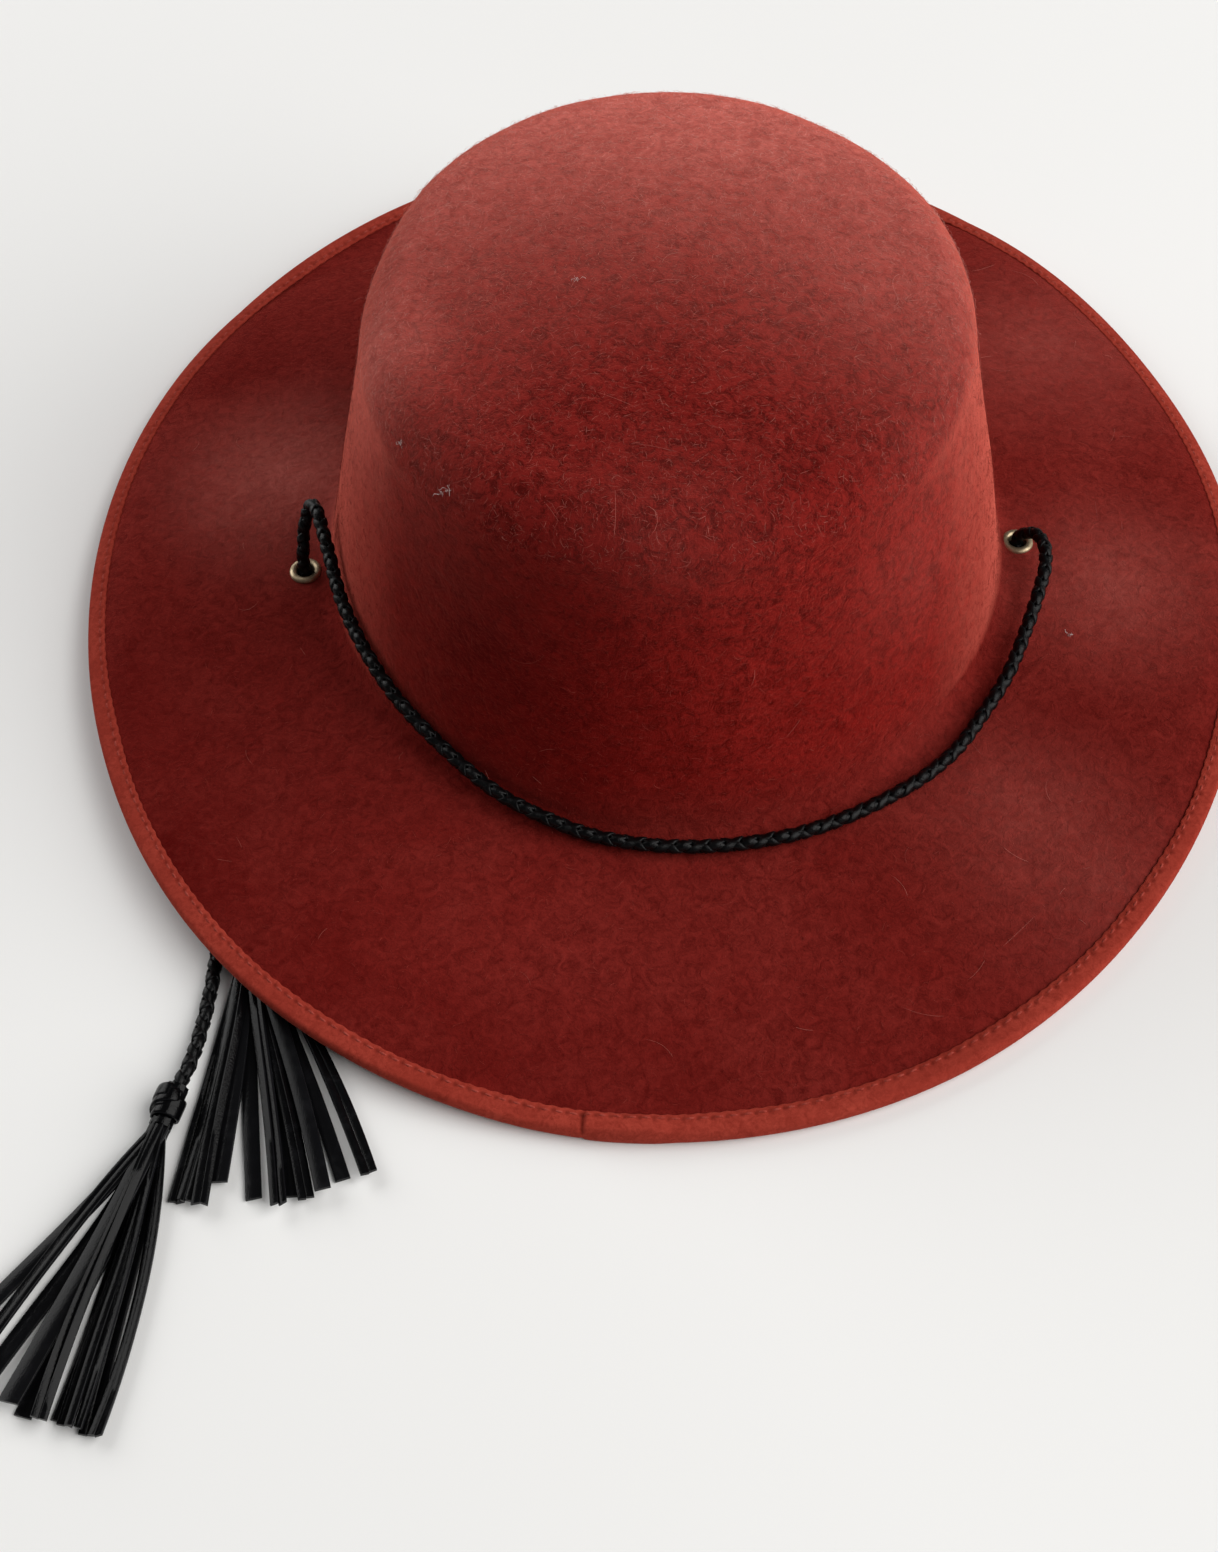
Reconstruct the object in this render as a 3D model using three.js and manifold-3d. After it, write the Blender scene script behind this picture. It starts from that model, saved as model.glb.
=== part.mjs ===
import * as THREE from 'three';
import { LoftGeometry } from 'three/addons/geometries/LoftGeometry.js';
import { mergeVertices } from 'three/addons/utils/BufferGeometryUtils.js';
import Module from 'manifold-3d';

// Felt hat with a round flat-topped crown, a wide taped brim and a braided chin cord.
// Millimetres, +Z up, +Y towards the front of the hat, +X to the right seen from behind.
// The origin lies on the surface that the hat rests on, under the middle of the brim;
// the crown sits a little behind it.

const GAP = 0.3;
const SLICES = 72;

const felt = { thickness: 2.5 };

const crown = {
  halfWidth: 88,
  halfDepth: 96.8,
  setback: 3.2,
  height: 106,
  topWidthShare: 0.84,
  topDepthShare: 0.86,
  shoulderRadius: 15.5,
  domeRise: 6,
  rootFillet: 5,
  domeShares: [0, 0.4, 0.75, 1],
  shoulderSteps: 4,
  wallSteps: 3,
  filletSteps: 3,
};

// Shallow dents of the crown wall: where they lie, how far they spread, how deep they go.
const crownDents = [
  { angle: 168, height: 88, angleSpread: 22, heightSpread: 30, depth: 1.8 },
  { angle: 25, height: 92, angleSpread: 20, heightSpread: 24, depth: -1.2 },
  { angle: 350, height: 46, angleSpread: 30, heightSpread: 26, depth: -1 },
];

const brim = {
  halfWidth: 152.6,
  halfDepth: 175.7,
  shares: [0.3, 0.58, 0.82, 0.91, 1],
  curlShare: 0.82,
};

// Height of the brim's upper face at the crown, halfway out and at its edge, how far the
// edge curls down out of the brim's even sweep and how far it reaches past its plan oval,
// for each angle round the hat. Where the edge would sink below the resting surface, the
// brim lies flat on it.
const brimWaves = [
  { angle: 0, root: 13.3, middle: 11.6, edge: 8.2, curl: 3.6, reach: 0 },
  { angle: 22, root: 12.6, middle: 10.4, edge: 5.6, curl: 3.2, reach: 1 },
  { angle: 45, root: 11.9, middle: 8.6, edge: 4.4, curl: 2.6, reach: 1.8 },
  { angle: 68, root: 11.8, middle: 8, edge: 0.9, curl: 0, reach: 0.9 },
  { angle: 90, root: 11.7, middle: 8.6, edge: 5.4, curl: 1.6, reach: 0 },
  { angle: 125, root: 11.9, middle: 8, edge: 0.9, curl: 0, reach: 0 },
  { angle: 155, root: 12.6, middle: 9.6, edge: 5.2, curl: 2.8, reach: 0 },
  { angle: 180, root: 14, middle: 12.6, edge: 7.6, curl: 4, reach: 0 },
  { angle: 202, root: 13.2, middle: 10.6, edge: 8.6, curl: 3.6, reach: 0.6 },
  { angle: 230, root: 13, middle: 12.6, edge: 10.3, curl: 1.8, reach: 1.6 },
  { angle: 252, root: 12.2, middle: 9.4, edge: 5.2, curl: 0.8, reach: 0.3 },
  { angle: 272, root: 11.8, middle: 7.8, edge: 0.9, curl: 0, reach: 0 },
  { angle: 300, root: 11.8, middle: 7.8, edge: 2.8, curl: 0.4, reach: 0 },
  { angle: 335, root: 12.8, middle: 10.2, edge: 6, curl: 2.2, reach: 0 },
];

// Folded tape over the brim's edge; its ends overlap for a short stretch at the back.
const tape = { thickness: 0.7, width: 4.5, noseShare: 0.55, overlapStart: 262, overlapEnd: 267.5 };

const eyelet = {
  holeRadius: 2.3,
  barrelRadius: 2.75,
  flangeRadius: 4.2,
  flangeThickness: 0.6,
  crestRise: 0.9,
  sides: 16,
};
const eyelets = [
  { name: 'eyelet_left', angle: 185.9, share: 0.106 },
  { name: 'eyelet_right', angle: 357.8, share: 0.082 },
];
const seatReach = 6;

const cord = { radius: 1.75, sides: 8, stepsPerStretch: 2 };

// The cord over the brim, from the left eyelet round the back of the crown to the right one.
const loopRoute = [
  [-94.4, -13.7, 12.4],
  [-94.3, -13, 18.6],
  [-93.4, -10.4, 25.6],
  [-92, -8.4, 30.6],
  [-90.2, -9.3, 34],
  [-88.4, -13.4, 35],
  [-86.9, -18.6, 34.3],
  [-85.1, -24.9, 32.9],
  [-81, -39.4, 30.4],
  [-73.7, -55.3, 27.8],
  [-65.7, -67.7, 25.2],
  [-53.3, -81.2, 21.6],
  [-41.5, -91, 18.4],
  [-29.4, -97.2, 16],
  [-17.4, -101.6, 14.5],
  [4.1, -104.3, 13.7],
  [30.4, -100.7, 13.6],
  [55.5, -88.6, 13.6],
  [68.9, -77.7, 13.9],
  [77.7, -65.8, 14.7],
  [85, -54.3, 16.2],
  [90.4, -42.4, 18.4],
  [94.8, -31.2, 20.5],
  [97.6, -21.8, 21.7],
  [97.6, -13.8, 21.3],
  [94.9, -8.4, 18.4],
  [93, -7.2, 14.6],
  [93, -7.2, 11.6],
];

// The left free end, from its eyelet straight back under the brim to its tassel.
const leftEndRoute = [
  [-94.4, -13.7, 12.1],
  [-94.4, -14.1, 9.2],
  [-94.5, -16.6, 5.2],
  [-94.9, -21.8, 2.4],
  [-95.6, -29.2, 1.9],
  [-98, -47.2, 1.9],
  [-99.6, -58.2, 1.9],
  [-101.2, -69.2, 1.9],
  [-104.2, -89.2, 1.9],
  [-106.8, -107.2, 1.9],
  [-107.8, -121.2, 2],
  [-108.2, -134.2, 2.1],
  [-109.3, -146.2, 2.4],
  [-110.6, -154.8, 3.2],
  [-112.4, -160.9, 3.75],
];

// The right free end, from its eyelet round the back under the brim to its tassel.
const rightEndRoute = [
  [93, -7.2, 11.3],
  [93.1, -7.8, 8.4],
  [93.6, -10.6, 4.7],
  [94.4, -15.8, 2.3],
  [94.8, -23.2, 1.9],
  [92.6, -45.2, 1.9],
  [84, -69.2, 1.9],
  [70, -89.2, 1.9],
  [50, -107.2, 1.9],
  [26, -118.2, 1.9],
  [2, -122.2, 1.9],
  [-24, -119.2, 1.9],
  [-48, -110.2, 1.9],
  [-68, -99.2, 1.9],
  [-83, -93.4, 1.9],
  [-94.4, -93.8, 2.2],
  [-100, -98.6, 2.8],
  [-101.4, -104.2, 3.5],
  [-101.1, -109.2, 3.75],
];

const tassel = {
  headRadius: 2.6,
  headLength: 10.5,
  headSides: 10,
  headHeight: 3.75,
  stripThickness: 0.9,
  stripSteps: 6,
  layerRise: 1,
  bundleRise: 1.05,
  landing: 0.55,
  floorGap: 0.15,
  rootInset: 0.9,
};

// Flat leather strips of each tassel: heading in degrees from -Y towards -X, length,
// width, sideways bow and the layer in which a strip lies.
const leftStrips = [
  { heading: 37, length: 72, width: 3.6, bow: 0, layer: 1 },
  { heading: 31, length: 71, width: 3.4, bow: -1.5, layer: 2 },
  { heading: 28, length: 72, width: 3.8, bow: 1, layer: 0 },
  { heading: 20.5, length: 67, width: 4.6, bow: 0.5, layer: 2 },
  { heading: 18, length: 68, width: 3.8, bow: 0, layer: 0 },
  { heading: 14, length: 68.5, width: 3.6, bow: -1, layer: 3 },
  { heading: 11.5, length: 67, width: 3.6, bow: 0, layer: 0 },
  { heading: 10, length: 68, width: 3.4, bow: 0.5, layer: 1 },
  { heading: 8, length: 68.5, width: 3.6, bow: 0.8, layer: 2 },
  { heading: 6, length: 69, width: 3.6, bow: 0.6, layer: 0 },
  { heading: 4.2, length: 69.5, width: 2.9, bow: 3, layer: 1 },
];
const rightStrips = [
  { heading: 8.4, length: 69, width: 3.6, bow: 0, layer: 0 },
  { heading: 6.6, length: 69, width: 3.6, bow: 0.6, layer: 1 },
  { heading: 3.6, length: 70, width: 3.8, bow: 0.4, layer: 2 },
  { heading: 0.8, length: 64, width: 3.6, bow: 0.8, layer: 1 },
  { heading: -5.8, length: 68, width: 3.6, bow: -0.8, layer: 0 },
  { heading: -10.4, length: 71.5, width: 3.6, bow: 0, layer: 2 },
  { heading: -13, length: 69, width: 3.4, bow: 0.5, layer: 0 },
  { heading: -15.2, length: 71, width: 3.6, bow: 0, layer: 1 },
  { heading: -18.4, length: 70.5, width: 3.6, bow: 1, layer: 2 },
  { heading: -22.4, length: 68.5, width: 3.4, bow: 0.6, layer: 0 },
  { heading: -27, length: 70.5, width: 3.8, bow: 2.2, layer: 1 },
];
const tassels = [
  { side: 'left', x: -115.4, y: -171.4, heading: 16, strips: leftStrips },
  { side: 'right', x: -100.3, y: -120, heading: -4, strips: rightStrips },
];

// Thong wound round the tassel's head, in three turns.
const wrap = { turns: 3, length: 8.4, coreRadius: 3.2, crestRadius: 3.6, sides: 12 };

const colours = { felt: 0x701f18, tape: 0x8c352a, brass: 0xb9a37c, leather: 0x151516 };

const degrees = THREE.MathUtils.degToRad;
const lerp = THREE.MathUtils.lerp;
const wasm = await Module();
wasm.setup();

function solidOf(geometry) {
  const bare = new THREE.BufferGeometry().copy(geometry);
  bare.deleteAttribute('normal');
  bare.deleteAttribute('uv');
  const merged = mergeVertices(bare, 1e-4);
  const vertProperties = new Float32Array(merged.attributes.position.array);
  const triVerts = new Uint32Array(merged.index.array);
  return new wasm.Manifold(new wasm.Mesh({ numProp: 3, vertProperties, triVerts }));
}

function geometryOf(solid) {
  const mesh = solid.getMesh();
  const geometry = new THREE.BufferGeometry();
  geometry.setAttribute('position', new THREE.BufferAttribute(mesh.vertProperties, 3));
  geometry.setIndex(new THREE.BufferAttribute(mesh.triVerts, 1));
  geometry.computeVertexNormals();
  return geometry;
}

// Smooth periodic curve through one column of a table whose rows are sorted by angle.
function columnAt(rows, column, angle) {
  const count = rows.length;
  const turn = ((angle % 360) + 360) % 360;
  let index = count - 1;
  while (index > 0 && rows[index].angle > turn) {
    index -= 1;
  }
  const rowAt = (step) => {
    const row = rows[(index + step + count) % count];
    const wraps = Math.floor((index + step) / count);
    return { angle: row.angle + 360 * wraps, value: row[column] };
  };
  const [before, from, to, after] = [-1, 0, 1, 2].map(rowAt);
  const span = to.angle - from.angle;
  const share = (turn - from.angle) / span;
  const slopeFrom = ((to.value - before.value) / (to.angle - before.angle)) * span;
  const slopeTo = ((after.value - from.value) / (after.angle - from.angle)) * span;
  const square = share * share;
  const cube = square * share;
  return (2 * cube - 3 * square + 1) * from.value + (cube - 2 * square + share) * slopeFrom
    + (3 * square - 2 * cube) * to.value + (cube - square) * slopeTo;
}

function ovalPoint(angle, halfWidth, halfDepth, height) {
  const turn = degrees(angle);
  return new THREE.Vector3(halfWidth * Math.cos(turn), halfDepth * Math.sin(turn), height);
}

function setBack(point, distance) {
  point.y -= distance;
  return point;
}

// Felt: the crown's and the brim's upper face, as rings from the top of the crown outwards.
const shoulder = {
  halfWidth: crown.halfWidth * crown.topWidthShare,
  halfDepth: crown.halfDepth * crown.topDepthShare,
  height: crown.height - crown.domeRise - crown.shoulderRadius,
};
const tapeReach = GAP + tape.thickness;
const restingHeight = tape.thickness + GAP + felt.thickness;

function brimHeight(angle, share) {
  const root = columnAt(brimWaves, 'root', angle);
  const middle = columnAt(brimWaves, 'middle', angle);
  const edge = columnAt(brimWaves, 'edge', angle);
  const curl = columnAt(brimWaves, 'curl', angle);
  const fromMiddle = share - 0.5;
  const fromEdge = share - 1;
  const inner = 2 * fromMiddle * fromEdge * root;
  const outer = 2 * share * fromMiddle * edge;
  const sweep = inner - 4 * share * fromEdge * middle + outer;
  const lifted = Math.max(2 * fromMiddle, 0);
  const curled = Math.max((share - brim.curlShare) / (1 - brim.curlShare), 0);
  return Math.max(sweep + curl * (lifted * lifted - curled * curled), restingHeight);
}

function brimPoint(angle, share) {
  const reach = columnAt(brimWaves, 'reach', angle) * share * share;
  const halfWidth = lerp(crown.halfWidth, brim.halfWidth - tapeReach, share) + reach;
  const halfDepth = lerp(crown.halfDepth, brim.halfDepth - tapeReach, share) + reach;
  const point = ovalPoint(angle, halfWidth, halfDepth, brimHeight(angle, share));
  return setBack(point, crown.setback * (1 - share));
}

// A point of the crown, pressed in by the dents and set back to the crown's own middle.
function crownPoint(point, angle) {
  let depth = 0;
  for (const dent of crownDents) {
    const aside = (((angle - dent.angle + 180) % 360) + 360) % 360 - 180;
    const across = aside / dent.angleSpread;
    const up = (point.z - dent.height) / dent.heightSpread;
    depth += dent.depth * Math.exp(-across * across - up * up);
  }
  const share = 1 - depth / Math.max(Math.hypot(point.x, point.y), shoulder.halfWidth);
  return setBack(new THREE.Vector3(point.x * share, point.y * share, point.z), crown.setback);
}

function domePoint(angle, share) {
  const halfWidth = share * (shoulder.halfWidth - crown.shoulderRadius);
  const halfDepth = share * (shoulder.halfDepth - crown.shoulderRadius);
  const height = crown.height - crown.domeRise * share * share;
  return crownPoint(ovalPoint(angle, halfWidth, halfDepth, height), angle);
}

function shoulderPoint(angle, share) {
  const turn = (1 - share) * Math.PI / 2;
  const inset = crown.shoulderRadius * (1 - Math.cos(turn));
  const height = shoulder.height + crown.shoulderRadius * Math.sin(turn);
  return crownPoint(ovalPoint(angle, shoulder.halfWidth - inset, shoulder.halfDepth - inset, height), angle);
}

function wallPoint(angle, share) {
  const root = brimHeight(angle, 0);
  const height = lerp(shoulder.height, root + crown.rootFillet, share);
  const fall = (shoulder.height - height) / (shoulder.height - root);
  const halfWidth = lerp(shoulder.halfWidth, crown.halfWidth, fall);
  const halfDepth = lerp(shoulder.halfDepth, crown.halfDepth, fall);
  return crownPoint(ovalPoint(angle, halfWidth, halfDepth, height), angle);
}

const filletShare = crown.rootFillet / (brim.halfWidth - crown.halfWidth);

function filletPoint(angle, share) {
  const wallEnd = wallPoint(angle, 1);
  const corner = brimPoint(angle, 0);
  const brimStart = brimPoint(angle, filletShare);
  return new THREE.QuadraticBezierCurve3(wallEnd, corner, brimStart).getPoint(share);
}

function evenSteps(count) {
  return Array.from({ length: count }, (_, index) => (index + 1) / count);
}

const outerRings = [
  ...crown.domeShares.map((share) => (angle) => domePoint(angle, share)),
  ...evenSteps(crown.shoulderSteps).map((share) => (angle) => shoulderPoint(angle, share)),
  ...evenSteps(crown.wallSteps).map((share) => (angle) => wallPoint(angle, share)),
  ...evenSteps(crown.filletSteps).map((share) => (angle) => filletPoint(angle, share)),
  ...brim.shares.map((share) => (angle) => brimPoint(angle, share)),
];
const lastRing = outerRings.length - 1;

function faceNormal(ring, angle) {
  if (ring === 0) {
    return new THREE.Vector3(0, 0, 1);
  }
  const around = outerRings[ring](angle + 1).sub(outerRings[ring](angle - 1));
  const along = outerRings[Math.min(ring + 1, lastRing)](angle).sub(outerRings[ring - 1](angle));
  return along.cross(around).normalize();
}

function innerPoint(ring, angle) {
  return outerRings[ring](angle).addScaledVector(faceNormal(ring, angle), -felt.thickness);
}

// Clockwise from above, so that a loft from the crown's top outwards faces outwards.
const sliceAngles = Array.from({ length: SLICES }, (_, index) => -360 * index / SLICES);

function seatOf({ angle, share }) {
  const step = 0.01;
  const around = brimPoint(angle + 1, share).sub(brimPoint(angle - 1, share));
  const along = brimPoint(angle, share + step).sub(brimPoint(angle, share - step));
  const normal = along.cross(around).normalize();
  const turn = new THREE.Quaternion().setFromUnitVectors(new THREE.Vector3(0, 0, 1), normal);
  return { point: brimPoint(angle, share), turn };
}

// Upright cylinder between two heights of an eyelet's own frame, moved to its seat.
function seatCutter(place, radius, low, high) {
  const geometry = new THREE.CylinderGeometry(radius, radius, high - low, eyelet.sides);
  geometry.rotateX(Math.PI / 2);
  geometry.translate(0, 0, (low + high) / 2);
  const { point, turn } = seatOf(place);
  geometry.applyQuaternion(turn);
  geometry.translate(point.x, point.y, point.z);
  return solidOf(geometry);
}

function feltBody() {
  const outer = outerRings.map((ring) => sliceAngles.map(ring));
  const inner = outerRings.map((_, ring) => sliceAngles.map((angle) => innerPoint(ring, angle))).reverse();
  let solid = solidOf(new LoftGeometry([...outer, ...inner]));
  const holeRadius = eyelet.barrelRadius + GAP;
  const spotRadius = eyelet.flangeRadius + GAP;
  for (const place of eyelets) {
    solid = solid.subtract(seatCutter(place, holeRadius, -seatReach, seatReach));
    solid = solid.subtract(seatCutter(place, spotRadius, 0, seatReach));
    solid = solid.subtract(seatCutter(place, spotRadius, -seatReach, -felt.thickness));
  }
  return geometryOf(solid);
}

// Tape section at one angle: a folded strip with a round nose, flattened on the resting surface.
function tapeSection(angle) {
  const turn = ((angle % 360) + 360) % 360;
  const doubled = turn > tape.overlapStart && turn < tape.overlapEnd;
  const layers = doubled ? 2 : 1;
  const inside = felt.thickness / 2 + GAP;
  const outside = inside + tape.thickness * layers;
  const nose = GAP + tape.thickness * layers;
  const blunt = outside * tape.noseShare;
  const outline = [
    [-tape.width, inside],
    [GAP, inside],
    [GAP, -inside],
    [-tape.width, -inside],
    [-tape.width, -outside],
    [GAP - tape.thickness, -outside],
    [nose, -blunt],
    [nose, blunt],
    [GAP - tape.thickness, outside],
    [-tape.width, outside],
  ];
  const normal = faceNormal(lastRing, angle);
  const edge = outerRings[lastRing](angle);
  const out = edge.clone().sub(outerRings[lastRing - 1](angle)).normalize();
  const middle = edge.addScaledVector(normal, -felt.thickness / 2);
  return outline.map(([along, across]) => {
    const point = middle.clone().addScaledVector(out, along).addScaledVector(normal, across);
    point.z = Math.max(point.z, 0);
    return point;
  });
}

function brimBinding() {
  const sections = sliceAngles.map(tapeSection);
  sections.push(sections[0]);
  return new LoftGeometry(sections);
}

function eyeletRing() {
  const top = GAP + eyelet.flangeThickness;
  const under = -felt.thickness - GAP;
  const bottom = under - eyelet.flangeThickness;
  const crest = (eyelet.holeRadius + eyelet.flangeRadius) / 2;
  const profile = [
    [eyelet.holeRadius, top],
    [eyelet.holeRadius, bottom],
    [eyelet.flangeRadius, bottom],
    [eyelet.flangeRadius, under],
    [eyelet.barrelRadius, under],
    [eyelet.barrelRadius, GAP],
    [eyelet.flangeRadius, GAP],
    [eyelet.flangeRadius, top],
    [crest, GAP + eyelet.crestRise],
    [eyelet.holeRadius, top],
  ];
  const points = profile.map(([radius, height]) => new THREE.Vector2(radius, height));
  const geometry = new THREE.LatheGeometry(points, eyelet.sides);
  geometry.rotateX(Math.PI / 2);
  return geometry;
}

// Steps are even between route points, so the close points of a bend get more of them.
class RouteCurve extends THREE.CatmullRomCurve3 {
  getUtoTmapping(share) {
    return share;
  }
}

function cordTube(route) {
  const path = new RouteCurve(route.map((point) => new THREE.Vector3(...point)));
  const section = new THREE.Shape();
  for (let side = 0; side < cord.sides; side += 1) {
    const turn = 2 * Math.PI * side / cord.sides;
    const point = [cord.radius * Math.cos(turn), cord.radius * Math.sin(turn)];
    if (side === 0) {
      section.moveTo(...point);
    } else {
      section.lineTo(...point);
    }
  }
  const steps = (route.length - 1) * cord.stepsPerStretch;
  return new THREE.ExtrudeGeometry(section, { steps, extrudePath: path, bevelEnabled: false });
}

// One strip in the tassel's frame: +X along the tassel, the head's lower end at x = 0.
function tasselStrip(strip, axisHeading) {
  const turn = degrees(axisHeading - strip.heading);
  const forward = new THREE.Vector3(Math.cos(turn), Math.sin(turn), 0);
  const sideways = new THREE.Vector3(-forward.y, forward.x, 0);
  const half = { width: strip.width / 2, thickness: tassel.stripThickness / 2 };
  const bundle = tassel.headHeight + (strip.layer - 1.5) * tassel.bundleRise;
  const rest = tassel.floorGap + half.thickness + strip.layer * tassel.layerRise;
  const sections = [];
  for (let step = 0; step <= tassel.stripSteps; step += 1) {
    const share = step / tassel.stripSteps;
    const landed = THREE.MathUtils.smoothstep(share, 0, tassel.landing);
    const centre = forward.clone().multiplyScalar(lerp(-tassel.rootInset, strip.length, share));
    centre.addScaledVector(sideways, strip.bow * 4 * share * (1 - share));
    centre.z = lerp(bundle, rest, landed);
    const corners = [[1, 1], [-1, 1], [-1, -1], [1, -1]];
    sections.push(corners.map(([across, up]) => {
      const corner = centre.clone().addScaledVector(sideways, across * half.width);
      corner.z += up * half.thickness;
      return corner;
    }));
  }
  return new LoftGeometry(sections, { capStart: true, capEnd: true });
}

function tasselBody({ heading, strips }) {
  const { headRadius, headLength, headSides } = tassel;
  const head = new THREE.CylinderGeometry(headRadius, headRadius, headLength, headSides);
  head.rotateZ(Math.PI / 2);
  head.translate(-headLength / 2, 0, tassel.headHeight);
  let solid = solidOf(head);
  for (const strip of strips) {
    solid = solid.add(solidOf(tasselStrip(strip, heading)));
  }
  return geometryOf(solid);
}

function headWrap() {
  const bore = tassel.headRadius + GAP;
  const points = [];
  for (let step = 0; step <= 2 * wrap.turns; step += 1) {
    const radius = step % 2 === 0 ? wrap.coreRadius : wrap.crestRadius;
    points.push(new THREE.Vector2(radius, wrap.length * step / (2 * wrap.turns)));
  }
  points.push(new THREE.Vector2(bore, wrap.length), new THREE.Vector2(bore, 0), points[0].clone());
  const geometry = new THREE.LatheGeometry(points, wrap.sides);
  geometry.rotateZ(Math.PI / 2);
  geometry.translate(-(tassel.headLength - wrap.length) / 2, 0, tassel.headHeight);
  return geometry;
}

const feltCloth = new THREE.MeshStandardMaterial({ color: colours.felt, roughness: 0.95, metalness: 0 });
const edgeTape = new THREE.MeshStandardMaterial({ color: colours.tape, roughness: 0.8, metalness: 0 });
const agedBrass = new THREE.MeshStandardMaterial({ color: colours.brass, roughness: 0.4, metalness: 0.9 });
const blackLeather = new THREE.MeshStandardMaterial({ color: colours.leather, roughness: 0.5, metalness: 0 });

const hat = new THREE.Group();

function addPiece(name, geometry, material) {
  const mesh = new THREE.Mesh(geometry, material);
  mesh.name = name;
  hat.add(mesh);
  return mesh;
}

addPiece('felt_body', feltBody(), feltCloth);
addPiece('brim_binding', brimBinding(), edgeTape);

for (const place of eyelets) {
  const mesh = addPiece(place.name, eyeletRing(), agedBrass);
  const { point, turn } = seatOf(place);
  mesh.position.copy(point);
  mesh.quaternion.copy(turn);
}

addPiece('chin_cord_loop', cordTube(loopRoute), blackLeather);
addPiece('cord_end_left', cordTube(leftEndRoute), blackLeather);
addPiece('cord_end_right', cordTube(rightEndRoute), blackLeather);

for (const place of tassels) {
  const body = addPiece(`tassel_${place.side}`, tasselBody(place), blackLeather);
  const band = addPiece(`tassel_wrap_${place.side}`, headWrap(), blackLeather);
  for (const mesh of [body, band]) {
    mesh.position.set(place.x, place.y, 0);
    mesh.rotation.z = degrees(-90 - place.heading);
  }
}

export default hat;
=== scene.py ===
"""Felt hat with a taped brim, brass eyelets and a braided leather chin cord with strip tassels.

Everything is in metres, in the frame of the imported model: +Z up, +Y towards the hat's front,
with the origin on the resting surface under the middle of the brim.
"""

import logging
import math
from collections.abc import Callable, Iterable
from dataclasses import dataclass, field
from enum import Enum

import bmesh
import bpy
import numpy as np
from bmesh.types import BMesh
from bpy.types import Material, Node, NodeSocket, NodeTree, Object
from mathutils import Matrix, Quaternion, Vector, noise


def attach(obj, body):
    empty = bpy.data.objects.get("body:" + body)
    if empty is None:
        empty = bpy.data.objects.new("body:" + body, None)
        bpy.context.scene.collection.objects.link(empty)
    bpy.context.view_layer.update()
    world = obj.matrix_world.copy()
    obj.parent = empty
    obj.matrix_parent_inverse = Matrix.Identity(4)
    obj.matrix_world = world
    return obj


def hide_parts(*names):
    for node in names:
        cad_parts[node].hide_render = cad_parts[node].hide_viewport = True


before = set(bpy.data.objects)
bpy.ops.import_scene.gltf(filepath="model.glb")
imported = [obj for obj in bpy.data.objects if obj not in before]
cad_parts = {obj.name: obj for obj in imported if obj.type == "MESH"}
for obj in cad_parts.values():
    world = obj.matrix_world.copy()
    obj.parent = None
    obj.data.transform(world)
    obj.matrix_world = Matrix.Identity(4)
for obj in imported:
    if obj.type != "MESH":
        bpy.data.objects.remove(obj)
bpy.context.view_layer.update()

LOG = logging.getLogger("hat")
BODY = "root"
UP = Vector((0, 0, 1))
IMAGE_WIDTH = 1218
IMAGE_HEIGHT = 1552
MILLIMETRES = 1000
FULL_TURN = 360
MIDDLE = 0.5

# Values that points carry: a fibre's tone, nearness to a strip's edge, depth of a stitch's notch.
TONE = "tone"
EDGE = "edge"
NOTCH = "notch"

Colour = tuple[float, float, float]
Point = tuple[float, float, float]
Span = tuple[float, float]


class Slot(Enum):
    """Material slots of the record."""

    FELT = "felt"
    TAPE = "tape"
    BRASS = "brass"
    CORD = "cord"
    TASSEL = "tassel"


class Region(Enum):
    """Parts of the felt that carry a nap of their own."""

    CROWN_TOP = "crown_top"
    CROWN_WALL = "crown_wall"
    BRIM = "brim"
    STRAY = "stray"


# Helpers for objects and meshes.

FIRST_RING = 10
MERGE_SPAN = 0.001
UPRIGHT = 0.9


def add_object(name: str, mesh: bpy.types.Mesh, material: Material, smooth: bool = True) -> Object:
    """Put a mesh into the scene.

    Args:
        name: Name of the piece.
        mesh: Its finished mesh, in place.
        material: Its finish.
        smooth: Whether its faces are shaded smooth.

    Returns:
        The new object, at the origin.
    """
    mesh.materials.append(material)
    if smooth:
        mesh.shade_smooth()
    piece = bpy.data.objects.new(name, mesh)
    bpy.context.scene.collection.objects.link(piece)
    return piece


def mesh_from(shape: BMesh, name: str) -> bpy.types.Mesh:
    """Turn a bmesh into a mesh and free it."""
    mesh = bpy.data.meshes.new(name)
    shape.to_mesh(mesh)
    shape.free()
    return mesh


def bake_modifiers(piece: Object) -> None:
    """Replace a piece's mesh by what its modifiers make of it."""
    graph = bpy.context.evaluated_depsgraph_get()
    baked = bpy.data.meshes.new_from_object(piece.evaluated_get(graph))
    piece.modifiers.clear()
    piece.data = baked


def write_values(mesh: bpy.types.Mesh, name: str, values: np.ndarray) -> None:
    """Keep one value per vertex as a point attribute."""
    layer = mesh.attributes.new(name, "FLOAT", "POINT")
    layer.data.foreach_set("value", values.astype(np.float32))


def read_rows(items: bpy.types.bpy_prop_collection, name: str, kind: type) -> np.ndarray:
    """Rows of three numbers that a mesh keeps for each of its items."""
    numbers = np.zeros(len(items) * 3, kind)
    items.foreach_get(name, numbers)
    return numbers.reshape(-1, 3)


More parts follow.
